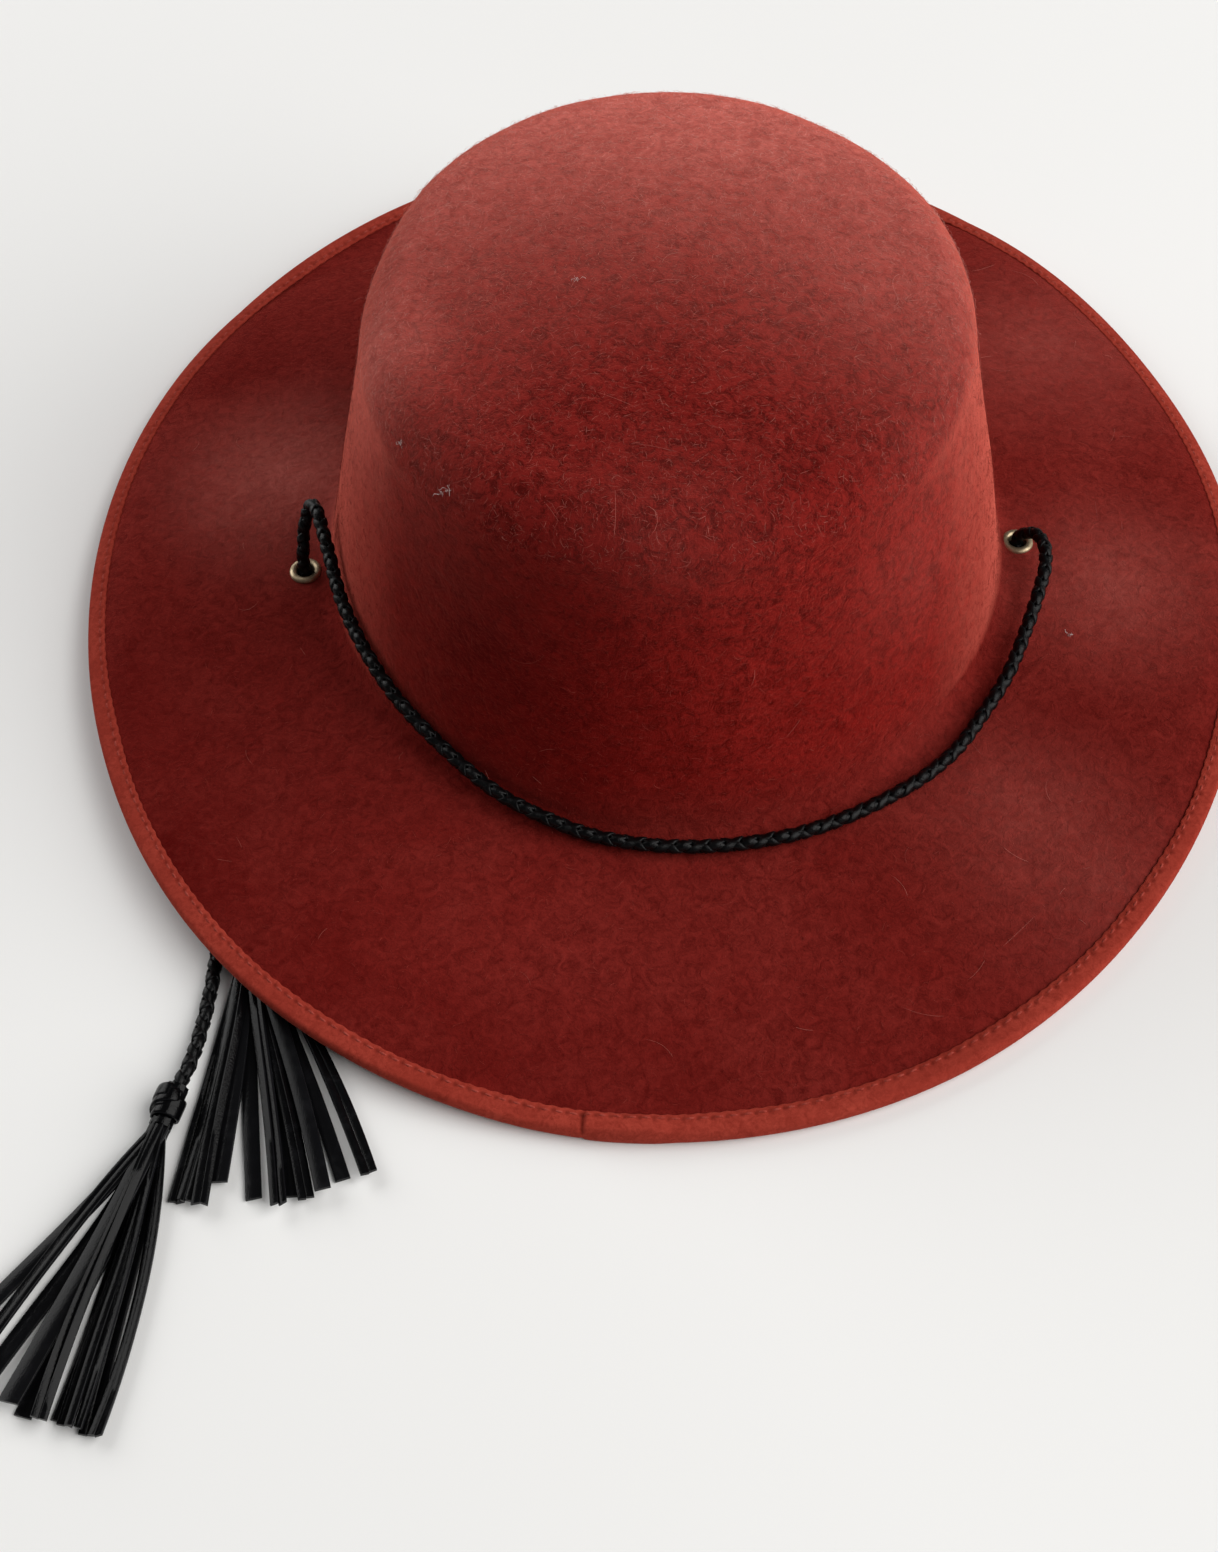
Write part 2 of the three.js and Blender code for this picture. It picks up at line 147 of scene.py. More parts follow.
def register(piece: Object, slot: Slot, *nodes: str) -> Object:
    """Let a piece ride on the hat and stand for CAD nodes.

    Args:
        piece: The finished piece.
        slot: Its material slot in the record; not used.
        nodes: CAD nodes that it replaces.

    Returns:
        The same piece.
    """
    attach(piece, BODY)
    if nodes:
        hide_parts(*nodes)
    piece.data.calc_loop_triangles()
    LOG.info("%s: %d triangles", piece.name, len(piece.data.loop_triangles))
    return piece


def spun_sheet(stations: int, slices: int, closed: bool, cuts: int = 0) -> BMesh:
    """Spin a row of points into a flat sheet; a point's radius then tells its station.

    Args:
        stations: Points in the row.
        slices: Steps of the full turn.
        closed: Whether the row's two ends are joined, which makes a ring.
        cuts: Cuts that split each step further.

    Returns:
        The sheet, to be settled with settle().
    """
    first = FIRST_RING if closed else 0
    shape = bmesh.new()
    row = [shape.verts.new((first + index, 0, 0)) for index in range(stations)]
    pairs = list(zip(row, row[1:]))
    if closed:
        pairs.append((row[-1], row[0]))
    edges = [shape.edges.new(pair) for pair in pairs]
    bmesh.ops.spin(shape, geom=row + edges, cent=(0, 0, 0), axis=UP, angle=math.tau,
                   steps=slices, use_merge=True)
    bmesh.ops.remove_doubles(shape, verts=shape.verts, dist=MERGE_SPAN)
    if cuts:
        rings = [edge for edge in shape.edges
                 if abs(edge.verts[0].co.length - edge.verts[1].co.length) < MERGE_SPAN]
        bmesh.ops.subdivide_edges(shape, edges=rings, cuts=cuts, use_grid_fill=True)
    return shape


def settle(shape: BMesh, closed: bool, place: Callable[[int, float], Vector]) -> None:
    """Move each point of a spun sheet to its real place.

    Args:
        shape: The sheet of spun_sheet().
        closed: As in spun_sheet().
        place: Gives the place of a station at an angle in degrees.
    """
    first = FIRST_RING if closed else 0
    for vert in shape.verts:
        angle = math.degrees(math.atan2(vert.co.y, vert.co.x))
        vert.co = place(round(vert.co.length) - first, angle)
    bmesh.ops.recalc_face_normals(shape, faces=shape.faces)


def smoothstep(share: float, start: float, end: float) -> float:
    """Ease from 0 at start to 1 at end."""
    along = min(max((share - start) / (end - start), 0), 1)
    return along * along * (3 - 2 * along)


def between(share: float | np.ndarray, ends: tuple, slopes: tuple,
            span: float = 1.0) -> float | np.ndarray:
    """Smooth curve from one value to the next.

    Args:
        share: Place between the two, from 0 to 1.
        ends: Both values.
        slopes: Slopes of the curve at both.
        span: Distance between the two that the slopes are measured over.

    Returns:
        The value at that place.
    """
    square, cube = share ** 2, share ** 3
    return ((2 * cube - 3 * square + 1) * ends[0] + (cube - 2 * square + share) * slopes[0] * span
            + (3 * square - 2 * cube) * ends[1] + (cube - square) * slopes[1] * span)


def unit_rows(rows: np.ndarray) -> np.ndarray:
    """The same directions with length 1."""
    return rows / np.linalg.norm(rows, axis=-1, keepdims=True)


def rounded_section(width: float, thickness: float, sides: int, squareness: float) -> np.ndarray:
    """Outline of a flat lace.

    Args:
        width: Whole width.
        thickness: Whole thickness.
        sides: Points of the outline.
        squareness: 1 for an oval, less for a boxier outline.

    Returns:
        Points as rows of across and up.
    """
    turn = np.linspace(0, math.tau, sides, endpoint=False)
    across = np.sign(np.cos(turn)) * np.abs(np.cos(turn)) ** squareness
    up = np.sign(np.sin(turn)) * np.abs(np.sin(turn)) ** squareness
    return np.column_stack([across * width / 2, up * thickness / 2])


@dataclass
class MeshArrays:
    """Vertices, faces and one value per vertex, gathered from many small shapes."""

    verts: list[np.ndarray] = field(default_factory=list)
    faces: list[tuple[int, ...]] = field(default_factory=list)
    values: list[np.ndarray] = field(default_factory=list)
    count: int = 0

    def add(self, verts: np.ndarray, faces: Iterable[tuple[int, ...]], values: np.ndarray) -> None:
        """Add one closed shape whose faces count from its own first vertex."""
        self.faces.extend(tuple(index + self.count for index in face) for face in faces)
        self.verts.append(verts)
        self.values.append(values)
        self.count += len(verts)

    def sweep(self, centres: np.ndarray, sides: np.ndarray, ups: np.ndarray, section: np.ndarray) -> None:
        """Carry a section along a line and close both ends; its value is high at the section's edges.

        Args:
            centres: Points of the line.
            sides: Unit vectors of the section's across.
            ups: Unit vectors of the section's up.
            section: Outline as rows of across and up.
        """
        steps, corners = len(centres), len(section)
        verts = centres[:, None] + sides[:, None] * section[None, :, :1]
        verts = verts + ups[:, None] * section[None, :, 1:]
        faces = []
        for step in range(steps - 1):
            for corner in range(corners):
                after = (corner + 1) % corners
                low, high = step * corners, (step + 1) * corners
                faces.append((low + corner, low + after, high + after, high + corner))
        faces.append(tuple(reversed(range(corners))))
        faces.append(tuple(range((steps - 1) * corners, steps * corners)))
        edge = np.abs(section[:, 0]) / np.abs(section[:, 0]).max()
        self.add(verts.reshape(-1, 3), faces, np.tile(edge, steps))

    def mesh(self, name: str, value_name: str) -> bpy.types.Mesh:
        """Make the mesh, with the values as a point attribute."""
        mesh = bpy.data.meshes.new(name)
        mesh.from_pydata(np.concatenate(self.verts).tolist(), [], self.faces)
        shape = bmesh.new()
        shape.from_mesh(mesh)
        bmesh.ops.recalc_face_normals(shape, faces=shape.faces)
        shape.to_mesh(mesh)
        shape.free()
        write_values(mesh, value_name, np.concatenate(self.values))
        return mesh


def spindles(name: str, lines: np.ndarray, radii: np.ndarray, sides: int) -> bpy.types.Mesh:
    """Thin closed spindles along many short lines.

    Args:
        name: Name of the mesh.
        lines: Lines as an array of line, point and coordinate.
        radii: Radius at each inner point of a line, one row per line.
        sides: Sides of a spindle.

    Returns:
        The mesh, whose vertices follow the order of the lines.
    """
    count, points, _ = lines.shape
    along = unit_rows(np.gradient(lines, axis=1))
    helper = np.where(np.abs(along[..., 2:]) < UPRIGHT, [[[0.0, 0.0, 1.0]]], [[[1.0, 0.0, 0.0]]])
    side = unit_rows(np.cross(along, helper))
    other = np.cross(along, side)
    turn = np.linspace(0, math.tau, sides, endpoint=False)
    inner = slice(1, points - 1)
    ring = side[:, inner, None] * np.cos(turn)[None, None, :, None]
    ring = ring + other[:, inner, None] * np.sin(turn)[None, None, :, None]
    rings = lines[:, inner, None] + ring * radii[:, :, None, None]
    inner_count = (points - 2) * sides
    verts = np.concatenate([lines[:, :1], rings.reshape(count, inner_count, 3), lines[:, -1:]], axis=1)
    tip = inner_count + 1
    faces = []
    for corner in range(sides):
        after = (corner + 1) % sides
        faces.append((0, 1 + corner, 1 + after))
        for step in range(points - 3):
            low, high = 1 + step * sides, 1 + (step + 1) * sides
            faces.append((low + corner, high + corner, high + after))
            faces.append((low + corner, high + after, low + after))
        last = 1 + (points - 3) * sides
        faces.append((last + corner, tip, last + after))
    starts = np.arange(count)[:, None, None] * (tip + 1)
    triangles = (np.array(faces)[None] + starts).reshape(-1, 3)
    mesh = bpy.data.meshes.new(name)
    mesh.from_pydata(verts.reshape(-1, 3).tolist(), [], triangles.tolist())
    return mesh


# Finishes.

VECTOR = "NodeSocketVector"
VALUE = "NodeSocketFloat"
MIX_FIRST = 6
MIX_SECOND = 7
MIX_RESULT = 2


@dataclass(frozen=True)
class Grain:
    """Character of a noise: its detail, its roughness and how far it is distorted."""

    detail: float
    roughness: float = 0.5
    distortion: float = 0.0


class Wiring:
    """Adds and joins the nodes of one tree, so that a finish reads as a list of steps."""

    def __init__(self, tree: NodeTree) -> None:
        """Keep the tree that the nodes go into."""
        self.tree = tree

    def add(self, kind: str, inputs: dict[str | int, object] | None = None, **settings: object) -> Node:
        """Add a node.

        Args:
            kind: Blender's name of the node.
            inputs: Values or sockets for its inputs, by name or number.
            settings: Values of its properties.

        Returns:
            The node.
        """
        node = self.tree.nodes.new(kind)
        for name, value in settings.items():
            setattr(node, name, value)
        self.fill(node, inputs or {})
        return node

    def fill(self, node: Node, inputs: dict[str | int, object]) -> None:
        """Link sockets to inputs of a node and set plain values on the others."""
        for name, value in inputs.items():
            if isinstance(value, NodeSocket):
                self.tree.links.new(value, node.inputs[name])
            else:
                node.inputs[name].default_value = value

    def place(self) -> NodeSocket:
        """Place on the object itself."""
        return self.add("ShaderNodeTexCoord").outputs["Object"]

    def height(self, where: NodeSocket) -> NodeSocket:
        """Height of a place."""
        return self.add("ShaderNodeSeparateXYZ", {0: where}).outputs["Z"]

    def carried(self, name: str) -> NodeSocket:
        """A value that the points carry."""
        return self.add("ShaderNodeAttribute", attribute_name=name).outputs["Fac"]

    def noise(self, where: NodeSocket, scale: object, grain: Grain) -> NodeSocket:
        """Noise from 0 to 1 on a vector."""
        inputs = {"Vector": where, "Scale": scale, "Detail": grain.detail, "Roughness": grain.roughness,
                  "Distortion": grain.distortion}
        return self.add("ShaderNodeTexNoise", inputs).outputs["Fac"]

    def math(self, operation: str, first: object, second: object) -> NodeSocket:
        """One calculation with two values."""
        return self.add("ShaderNodeMath", {0: first, 1: second}, operation=operation).outputs[0]

    def band(self, value: NodeSocket, low: float, high: float) -> NodeSocket:
        """Stretch the values between low and high to the range from 0 to 1."""
        node = self.add("ShaderNodeMapRange", {"Value": value, "From Min": low, "From Max": high})
        return node.outputs["Result"]

    def mix(self, share: object, first: object, second: object, blend: str = "MIX") -> NodeSocket:
        """Mix two colours; plain colours are given without alpha."""
        inputs = {0: share}
        for number, value in ((MIX_FIRST, first), (MIX_SECOND, second)):
            inputs[number] = value if isinstance(value, NodeSocket) else (*value, 1)
        return self.add("ShaderNodeMix", inputs, data_type="RGBA", blend_type=blend).outputs[MIX_RESULT]

    def bump(self, height: NodeSocket, distance: float, strength: float) -> NodeSocket:
        """Normal of a surface with small heights."""
        inputs = {"Height": height, "Distance": distance, "Strength": strength}
        return self.add("ShaderNodeBump", inputs).outputs["Normal"]


def new_material(name: str) -> tuple[Material, Wiring, Node]:
    """Start a material.

    Args:
        name: Name of the finish.

    Returns:
        The material, its wiring and its Principled shader.
    """
    material = bpy.data.materials.new(name)
    material.use_nodes = True
    return material, Wiring(material.node_tree), material.node_tree.nodes["Principled BSDF"]


def new_group(name: str, inputs: dict[str, str], outputs: Iterable[str]) -> tuple[NodeTree, Node, Node]:
    """Start a shader node group.

    Args:
        name: Name of the group.
        inputs: Socket types by name.
        outputs: Names of its values.

    Returns:
        The group, its input node and its output node.
    """
    group = bpy.data.node_groups.new(name, "ShaderNodeTree")
    for label, kind in inputs.items():
        group.interface.new_socket(label, in_out="INPUT", socket_type=kind)
    for label in outputs:
        group.interface.new_socket(label, in_out="OUTPUT", socket_type=VALUE)
    return group, group.nodes.new("NodeGroupInput"), group.nodes.new("NodeGroupOutput")


@dataclass(frozen=True)
class MattedWool:
    """Matted wool: wide clouds of tone, tangled fibres and their small heights."""

    name: str = "matted_wool"
    clouds: Grain = Grain(4, 0.6, 0.6)
    tangle: Grain = Grain(5, 0.65, 1.8)
    clumps: Grain = Grain(3, 0.6, 1.2)
    clump_scale: float = 0.33
    tangle_share: float = 0.44
    clump_share: float = 0.56
    cloud_band: Span = (0.3, 0.7)
    fibre_band: Span = (0.34, 0.62)

    def build(self) -> NodeTree:
        """Make the shared group."""
        inputs = {"Vector": VECTOR, "Fibre Scale": VALUE, "Cloud Scale": VALUE}
        group, given, result = new_group(self.name, inputs, ("Cloud", "Fibre", "Height"))
        wires = Wiring(group)
        where, fine, wide = (given.outputs[name] for name in inputs)
        cloud = wires.noise(where, wide, self.clouds)
        tangle = wires.noise(where, fine, self.tangle)
        clump = wires.noise(where, wires.math("MULTIPLY", fine, self.clump_scale), self.clumps)
        tangle = wires.math("MULTIPLY", tangle, self.tangle_share)
        fibre = wires.math("ADD", tangle, wires.math("MULTIPLY", clump, self.clump_share))
        wires.fill(result, {"Cloud": wires.band(cloud, *self.cloud_band),
                            "Fibre": wires.band(fibre, *self.fibre_band), "Height": fibre})
        return group


@dataclass(frozen=True)
class PaintedLightPatch:
    """Patch of painted light, a painted sheen or a painted shade by its table: none at one distance from its
    centre, most at the other, above a height.
    """

    centre: Point
    none_at: float
    most_at: float
    share: float
    heights: Span


# Heights over which the painted sheen on the crown's top fades out down the wall.
CROWN_FADE = (0.05, 0.096)
ANY_HEIGHT = (0.0, 0.001)
# Painted sheen: paler patches on the crown's far top, on its left side and on light-catching ridges of the
# brim, standing in for light and sheen.
PAINTED_SHEEN_PATCHES = (
    PaintedLightPatch((0.0, -0.08, 0.103), 0.03, 0.155, 0.76, CROWN_FADE),
    PaintedLightPatch((0.012, 0.04, 0.104), 0.06, 0.0, 0.1, CROWN_FADE),
    PaintedLightPatch((0.048, -0.008, 0.102), 0.05, 0.0, 0.1, CROWN_FADE),
    PaintedLightPatch((0.0, -0.083, 0.09), 0.045, 0.0, 0.08, CROWN_FADE),
    PaintedLightPatch((-0.071, -0.022, 0.088), 0.032, 0.0, 0.5, ANY_HEIGHT),
    PaintedLightPatch((-0.078, -0.014, 0.064), 0.03, 0.0, 0.2, ANY_HEIGHT),
    PaintedLightPatch((0.058, -0.062, 0.06), 0.04, 0.0, 0.07, ANY_HEIGHT),
    PaintedLightPatch((-0.1, 0.024, 0.0137), 0.05, 0.0, 0.45, ANY_HEIGHT),
    PaintedLightPatch((0.112, 0.075, 0.009), 0.06, 0.0, 0.14, ANY_HEIGHT),
    PaintedLightPatch((0.117, -0.021, 0.011), 0.045, 0.0, 0.2, ANY_HEIGHT),
    PaintedLightPatch((0.082, -0.088, 0.01), 0.04, 0.0, 0.1, ANY_HEIGHT),
    PaintedLightPatch((0.102, -0.112, 0.008), 0.05, 0.0, 0.1, ANY_HEIGHT),
)
# Painted shade: darker patches on the crown's front-left wall and on the brim, mostly along the tape at the
# left and front.
PAINTED_SHADE_PATCHES = (
    PaintedLightPatch((-0.046, -0.076, 0.058), 0.062, 0.0, 0.85, ANY_HEIGHT),
    PaintedLightPatch((-0.12, -0.104, 0.012), 0.065, 0.0, 0.75, ANY_HEIGHT),
    PaintedLightPatch((-0.138, -0.045, 0.011), 0.045, 0.0, 0.5, ANY_HEIGHT),
    PaintedLightPatch((-0.078, -0.14, 0.011), 0.042, 0.0, 0.45, ANY_HEIGHT),
    PaintedLightPatch((-0.04, -0.159, 0.006), 0.036, 0.0, 0.4, ANY_HEIGHT),
    PaintedLightPatch((0.0, -0.165, 0.004), 0.038, 0.0, 0.38, ANY_HEIGHT),
    PaintedLightPatch((-0.1145, 0.0803, 0.0074), 0.045, 0.0, 0.35, ANY_HEIGHT),
    PaintedLightPatch((0.1, -0.066, 0.011), 0.032, 0.0, 0.45, ANY_HEIGHT),
)


@dataclass(frozen=True)
class PaintedSheenAndShade:
    """Shares of painted sheen, which is paler, and of painted shade, which is darker, in uneven wisps."""

    name: str = "painted_sheen_and_shade"
    wisp_scale: float = 240
    wisps: Grain = Grain(4, 0.62, 1.4)
    wisp_band: Span = (0.32, 0.68)
    wisp_share: float = 0.6
    even_share: float = 0.65
    falloff: float = 1.6

    def build(self) -> NodeTree:
        """Make the shared group."""
        group, given, result = new_group(self.name, {"Vector": VECTOR}, ("Painted Sheen", "Painted Shade", "Wisps"))
        wires = Wiring(group)
        where = given.outputs["Vector"]
        wisps = wires.band(wires.noise(where, self.wisp_scale, self.wisps), *self.wisp_band)
        uneven = wires.math("ADD", wires.math("MULTIPLY", wisps, self.wisp_share), self.even_share)
        # Painted sheen and painted shade, each made uneven by the wisps.
        painted_sheen_share = wires.math("MULTIPLY", self.patches(wires, where, PAINTED_SHEEN_PATCHES), uneven)
        painted_shade = wires.math("MULTIPLY", self.patches(wires, where, PAINTED_SHADE_PATCHES), uneven)
        wires.fill(result, {"Painted Sheen": painted_sheen_share, "Painted Shade": painted_shade, "Wisps": uneven})
        return group

    def patches(self, wires: Wiring, where: NodeSocket, rows: Iterable[PaintedLightPatch]) -> NodeSocket:
        """Sum of the shares that patches of painted light have at a place.

        Args:
            wires: Wiring of the group.
            where: The place.
            rows: Rows of a table of patches.

        Returns:
            The sum.
        """
        height = wires.height(where)
        share = 0.0
        for patch in rows:
            inputs = {0: where, 1: patch.centre}
            away = wires.add("ShaderNodeVectorMath", inputs, operation="DISTANCE").outputs["Value"]
            near = wires.band(away, patch.none_at, patch.most_at)
            mask = wires.math("MULTIPLY", near, wires.band(height, *patch.heights))
            mask = wires.math("POWER", mask, self.falloff)
            share = wires.math("ADD", wires.math("MULTIPLY", mask, patch.share), share)
        return share

    def node(self, wires: Wiring, where: NodeSocket) -> Node:
        """The shared group, put into a finish."""
        return wires.add("ShaderNodeGroup", {"Vector": where}, node_tree=bpy.data.node_groups[self.name])


@dataclass(frozen=True)
class LeatherGrain:
    """Leather: cells of grain, faint scuffs and the grain's small heights."""

    name: str = "leather_grain"
    warp: Grain = Grain(3)
    warp_scale: float = 0.5
    scuffs: Grain = Grain(5, 0.65, 0.8)
    scuff_scale: float = 0.12
    cell_band: Span = (0.0, 0.25)
    scuff_band: Span = (0.5, 0.75)
    cell_share: float = 0.7
    warp_share: float = 0.3

    def build(self) -> NodeTree:
        """Make the shared group."""
        inputs = {"Vector": VECTOR, "Grain Scale": VALUE}
        group, given, result = new_group(self.name, inputs, ("Grain", "Scuff", "Height"))
        wires = Wiring(group)
        where, scale = (given.outputs[name] for name in inputs)
        warp = wires.noise(where, wires.math("MULTIPLY", scale, self.warp_scale), self.warp)
        cells = wires.add("ShaderNodeTexVoronoi", {"Vector": where, "Scale": scale, "Randomness": 1.0},
                          feature="DISTANCE_TO_EDGE").outputs["Distance"]
        grain = wires.band(cells, *self.cell_band)
        scuff = wires.noise(where, wires.math("MULTIPLY", scale, self.scuff_scale), self.scuffs)
        warp = wires.math("MULTIPLY", warp, self.warp_share)
        height = wires.math("ADD", wires.math("MULTIPLY", grain, self.cell_share), warp)
        wires.fill(result, {"Grain": grain, "Scuff": wires.band(scuff, *self.scuff_band), "Height": height})
        return group


@dataclass(frozen=True)
class WoolFinish:
    """Napped wool felt or a felted tape, in one hue."""

    name: str
    deep: Colour
    body: Colour
    lit: Colour
    fibre_scale: float
    cloud_scale: float
    sheen: float
    sheen_tint: Colour
    bump: float
    bump_strength: float = 0.9
    sheen_roughness: float = 0.3
    roughness: float = 0.95
    gloss: float = 0.04

    def material(self, wool: NodeTree) -> Material:
        """Make the finish.

        Args:
            wool: The shared group of matted wool.

        Returns:
            Its material.
        """
        material, wires, shader = new_material(self.name)
        where = wires.place()
        inputs = {"Vector": where, "Fibre Scale": self.fibre_scale, "Cloud Scale": self.cloud_scale}
        matted = wires.add("ShaderNodeGroup", inputs, node_tree=wool)
        depth = self.matting(wires, where)
        fibre = wires.math("MULTIPLY", wires.math("SUBTRACT", matted.outputs["Fibre"], MIDDLE), depth)
        tone = wires.mix(matted.outputs["Cloud"], self.body, self.lit)
        colour = self.shaded(wires, where, wires.mix(wires.math("ADD", fibre, MIDDLE), self.deep, tone))
        height = wires.math("MULTIPLY", matted.outputs["Height"], depth)
        wires.fill(shader, {
            "Base Color": colour,
            "Normal": wires.bump(height, self.bump, self.bump_strength),
            "Roughness": self.roughness,
            "Specular IOR Level": self.gloss,
            "Sheen Weight": self.sheen,
            "Sheen Roughness": self.sheen_roughness,
            "Sheen Tint": (*self.sheen_tint, 1),
        })
        return material

    def matting(self, wires: Wiring, where: NodeSocket) -> NodeSocket | float:
        """Depth of the matted fibres; an even finish has the same all over."""
        return 1.0

    def shaded(self, wires: Wiring, where: NodeSocket, colour: NodeSocket) -> NodeSocket:
        """Change the colour from place to place; an even finish keeps it."""
        return colour


@dataclass(frozen=True)
class PaintedLightFeltFinish(WoolFinish):
    """Felt with painted sheen, paler, in some places and painted shade, darker, in others, and a painted
    sheen at grazing angles.
    """

    # Colours of the painted sheen, the painted shade and the painted sheen at grazing angles, with the share
    # and facing range of the last.
    painted_sheen: Colour = (0.72, 0.19, 0.155)
    painted_shade: Colour = (0.075, 0.0008, 0.0006)
    painted_rim_sheen: Colour = (0.62, 0.12, 0.085)
    painted_rim_share: float = 0.72
    painted_rim_facing: Span = (0.57, 0.95)
    crown_heights: Span = (0.02, 0.1)
    brim_matting: float = 0.8
    crown_matting: float = 1.8
    wall_heights: Span = (0.012, 0.03)
    top_heights: Span = (0.084, 0.102)
    # Tints by height, painted light: the wall deeper red, standing in for red light bounced onto it from the
    # brim, and the brim paler.
    painted_brim_tint: Colour = (0.95, 1.3, 1.28)
    painted_wall_tint: Colour = (1.02, 0.76, 0.73)
    top_tint: Colour = (1.0, 1.0, 1.0)

    def matting(self, wires: Wiring, where: NodeSocket) -> NodeSocket | float:
        """The crown's nap is tufted more deeply than the brim's."""
        crown = wires.band(wires.height(where), *self.crown_heights)
        deeper = wires.math("MULTIPLY", crown, self.crown_matting - self.brim_matting)
        return wires.math("ADD", deeper, self.brim_matting)

    def shaded(self, wires: Wiring, where: NodeSocket, colour: NodeSocket) -> NodeSocket:
        """Mix in the painted shade and the painted sheen, and a painted sheen where the felt is seen at a
        grazing angle.
        """
        height = wires.height(where)
        # Painted light by height: the wall's and brim's tints.
        tint = wires.mix(wires.band(height, *self.wall_heights), self.painted_brim_tint, self.painted_wall_tint)
        tint = wires.mix(wires.band(height, *self.top_heights), tint, self.top_tint)
        nap = PaintedSheenAndShade().node(wires, where)
        colour = wires.mix(1.0, colour, tint, "MULTIPLY")
        colour = wires.mix(nap.outputs["Painted Shade"], colour, self.painted_shade)
        colour = wires.mix(nap.outputs["Painted Sheen"], colour, self.painted_sheen)
        # Painted sheen: the base colour turns pale where the felt is seen at a grazing angle.
        facing = wires.add("ShaderNodeLayerWeight", {"Blend": MIDDLE}).outputs["Facing"]
        rim_sheen_share = wires.math("MULTIPLY", wires.band(facing, *self.painted_rim_facing), self.painted_rim_share)
        return wires.mix(wires.math("MULTIPLY", rim_sheen_share, nap.outputs["Wisps"]), colour, self.painted_rim_sheen)


@dataclass(frozen=True)
class TapeFinish(WoolFinish):
    """Felted tape with painted shade in the notches of its sewing."""

    # Colour of the painted shade in the notches, and its share.
    notch: Colour = (0.06, 0.003, 0.002)
    notch_share: float = 0.45

    def shaded(self, wires: Wiring, where: NodeSocket, colour: NodeSocket) -> NodeSocket:
        """Paint shade into the notches."""
        share = wires.math("MULTIPLY", wires.carried(NOTCH), self.notch_share)
        return wires.mix(share, colour, self.notch)


@dataclass(frozen=True)
class FibreFinish:
    """Loose fibres, each with a tone of its own, darker under the painted shade and paler under the painted
    sheen.
    """

    name: str
    dark: Colour
    pale: Colour
    painted_sheen: Colour
    roughness: float = 0.9
    gloss: float = 0.0

    def material(self) -> Material:
        """Make the finish, which reads each fibre's tone."""
        material, wires, shader = new_material(self.name)
        where = wires.place()
        tone = wires.carried(TONE)
        nap = PaintedSheenAndShade().node(wires, where)
        # Painted shade darkens the fibres' tone; painted sheen turns them pale.
        tone = wires.math("MULTIPLY", tone, wires.math("SUBTRACT", 1.0, nap.outputs["Painted Shade"]))
        colour = wires.mix(nap.outputs["Painted Sheen"], wires.mix(tone, self.dark, self.pale), self.painted_sheen)
        wires.fill(shader, {"Base Color": colour, "Roughness": self.roughness,
                            "Specular IOR Level": self.gloss})
        return material


@dataclass(frozen=True)
class LeatherFinish:
    """Dyed leather with grain, faint scuffs and paler edges, partly worn and partly a painted highlight."""

    name: str
    body: Colour
    scuffed: Colour
    grain_scale: float
    roughness: float
    gloss: float
    bump: float
    edge_wear_and_highlight: float
    pale_edge_band: Span = (0.8, 1.0)
    scuff_share: float = 0.5
    scuff_roughness: float = 0.12
    bump_strength: float = 0.5

    def material(self, leather: NodeTree) -> Material:
        """Make the finish.

        Args:
            leather: The shared group of leather grain.

        Returns:
            Its material.
        """
        material, wires, shader = new_material(self.name)
        inputs = {"Vector": wires.place(), "Grain Scale": self.grain_scale}
        grain = wires.add("ShaderNodeGroup", inputs, node_tree=leather)
        scuff = grain.outputs["Scuff"]
        # Paler edges: partly wear, partly a painted highlight along the edges.
        worn_and_lit = wires.math("MULTIPLY", wires.band(wires.carried(EDGE), *self.pale_edge_band), self.edge_wear_and_highlight)
        share = wires.math("ADD", worn_and_lit, wires.math("MULTIPLY", scuff, self.scuff_share))
        wires.fill(shader, {
            "Base Color": wires.mix(share, self.body, self.scuffed),
            "Roughness": wires.math("ADD", wires.math("MULTIPLY", scuff, self.scuff_roughness),
                                    self.roughness),
            "Normal": wires.bump(grain.outputs["Height"], self.bump, self.bump_strength),
            "Specular IOR Level": self.gloss,
        })
        return material


@dataclass(frozen=True)
class BrassFinish:
    """Pale plated brass, dulled and a little browned."""

    name: str = "aged_brass"
    bright: Colour = (0.44, 0.35, 0.23)
    dull: Colour = (0.2, 0.145, 0.09)
    tarnish: Grain = Grain(5, 0.6, 0.4)
    tarnish_scale: float = 420
    tarnish_band: Span = (0.42, 0.7)
    tarnish_roughness: float = 0.3
    roughness: float = 0.4
    metallic: float = 0.85
    pitting: Grain = Grain(3)
    pitting_scale: float = 2520
    pitting_depth: float = 0.00004
    pitting_strength: float = 0.4

    def material(self) -> Material:
        """Make the finish."""
        material, wires, shader = new_material(self.name)
        where = wires.place()
        tarnish = wires.band(wires.noise(where, self.tarnish_scale, self.tarnish), *self.tarnish_band)
        rough = wires.math("MULTIPLY", tarnish, self.tarnish_roughness)
        pits = wires.noise(where, self.pitting_scale, self.pitting)
        wires.fill(shader, {
            "Base Color": wires.mix(tarnish, self.bright, self.dull),
            "Roughness": wires.math("ADD", rough, self.roughness),
            "Normal": wires.bump(pits, self.pitting_depth, self.pitting_strength),
            "Metallic": self.metallic,
        })
        return material


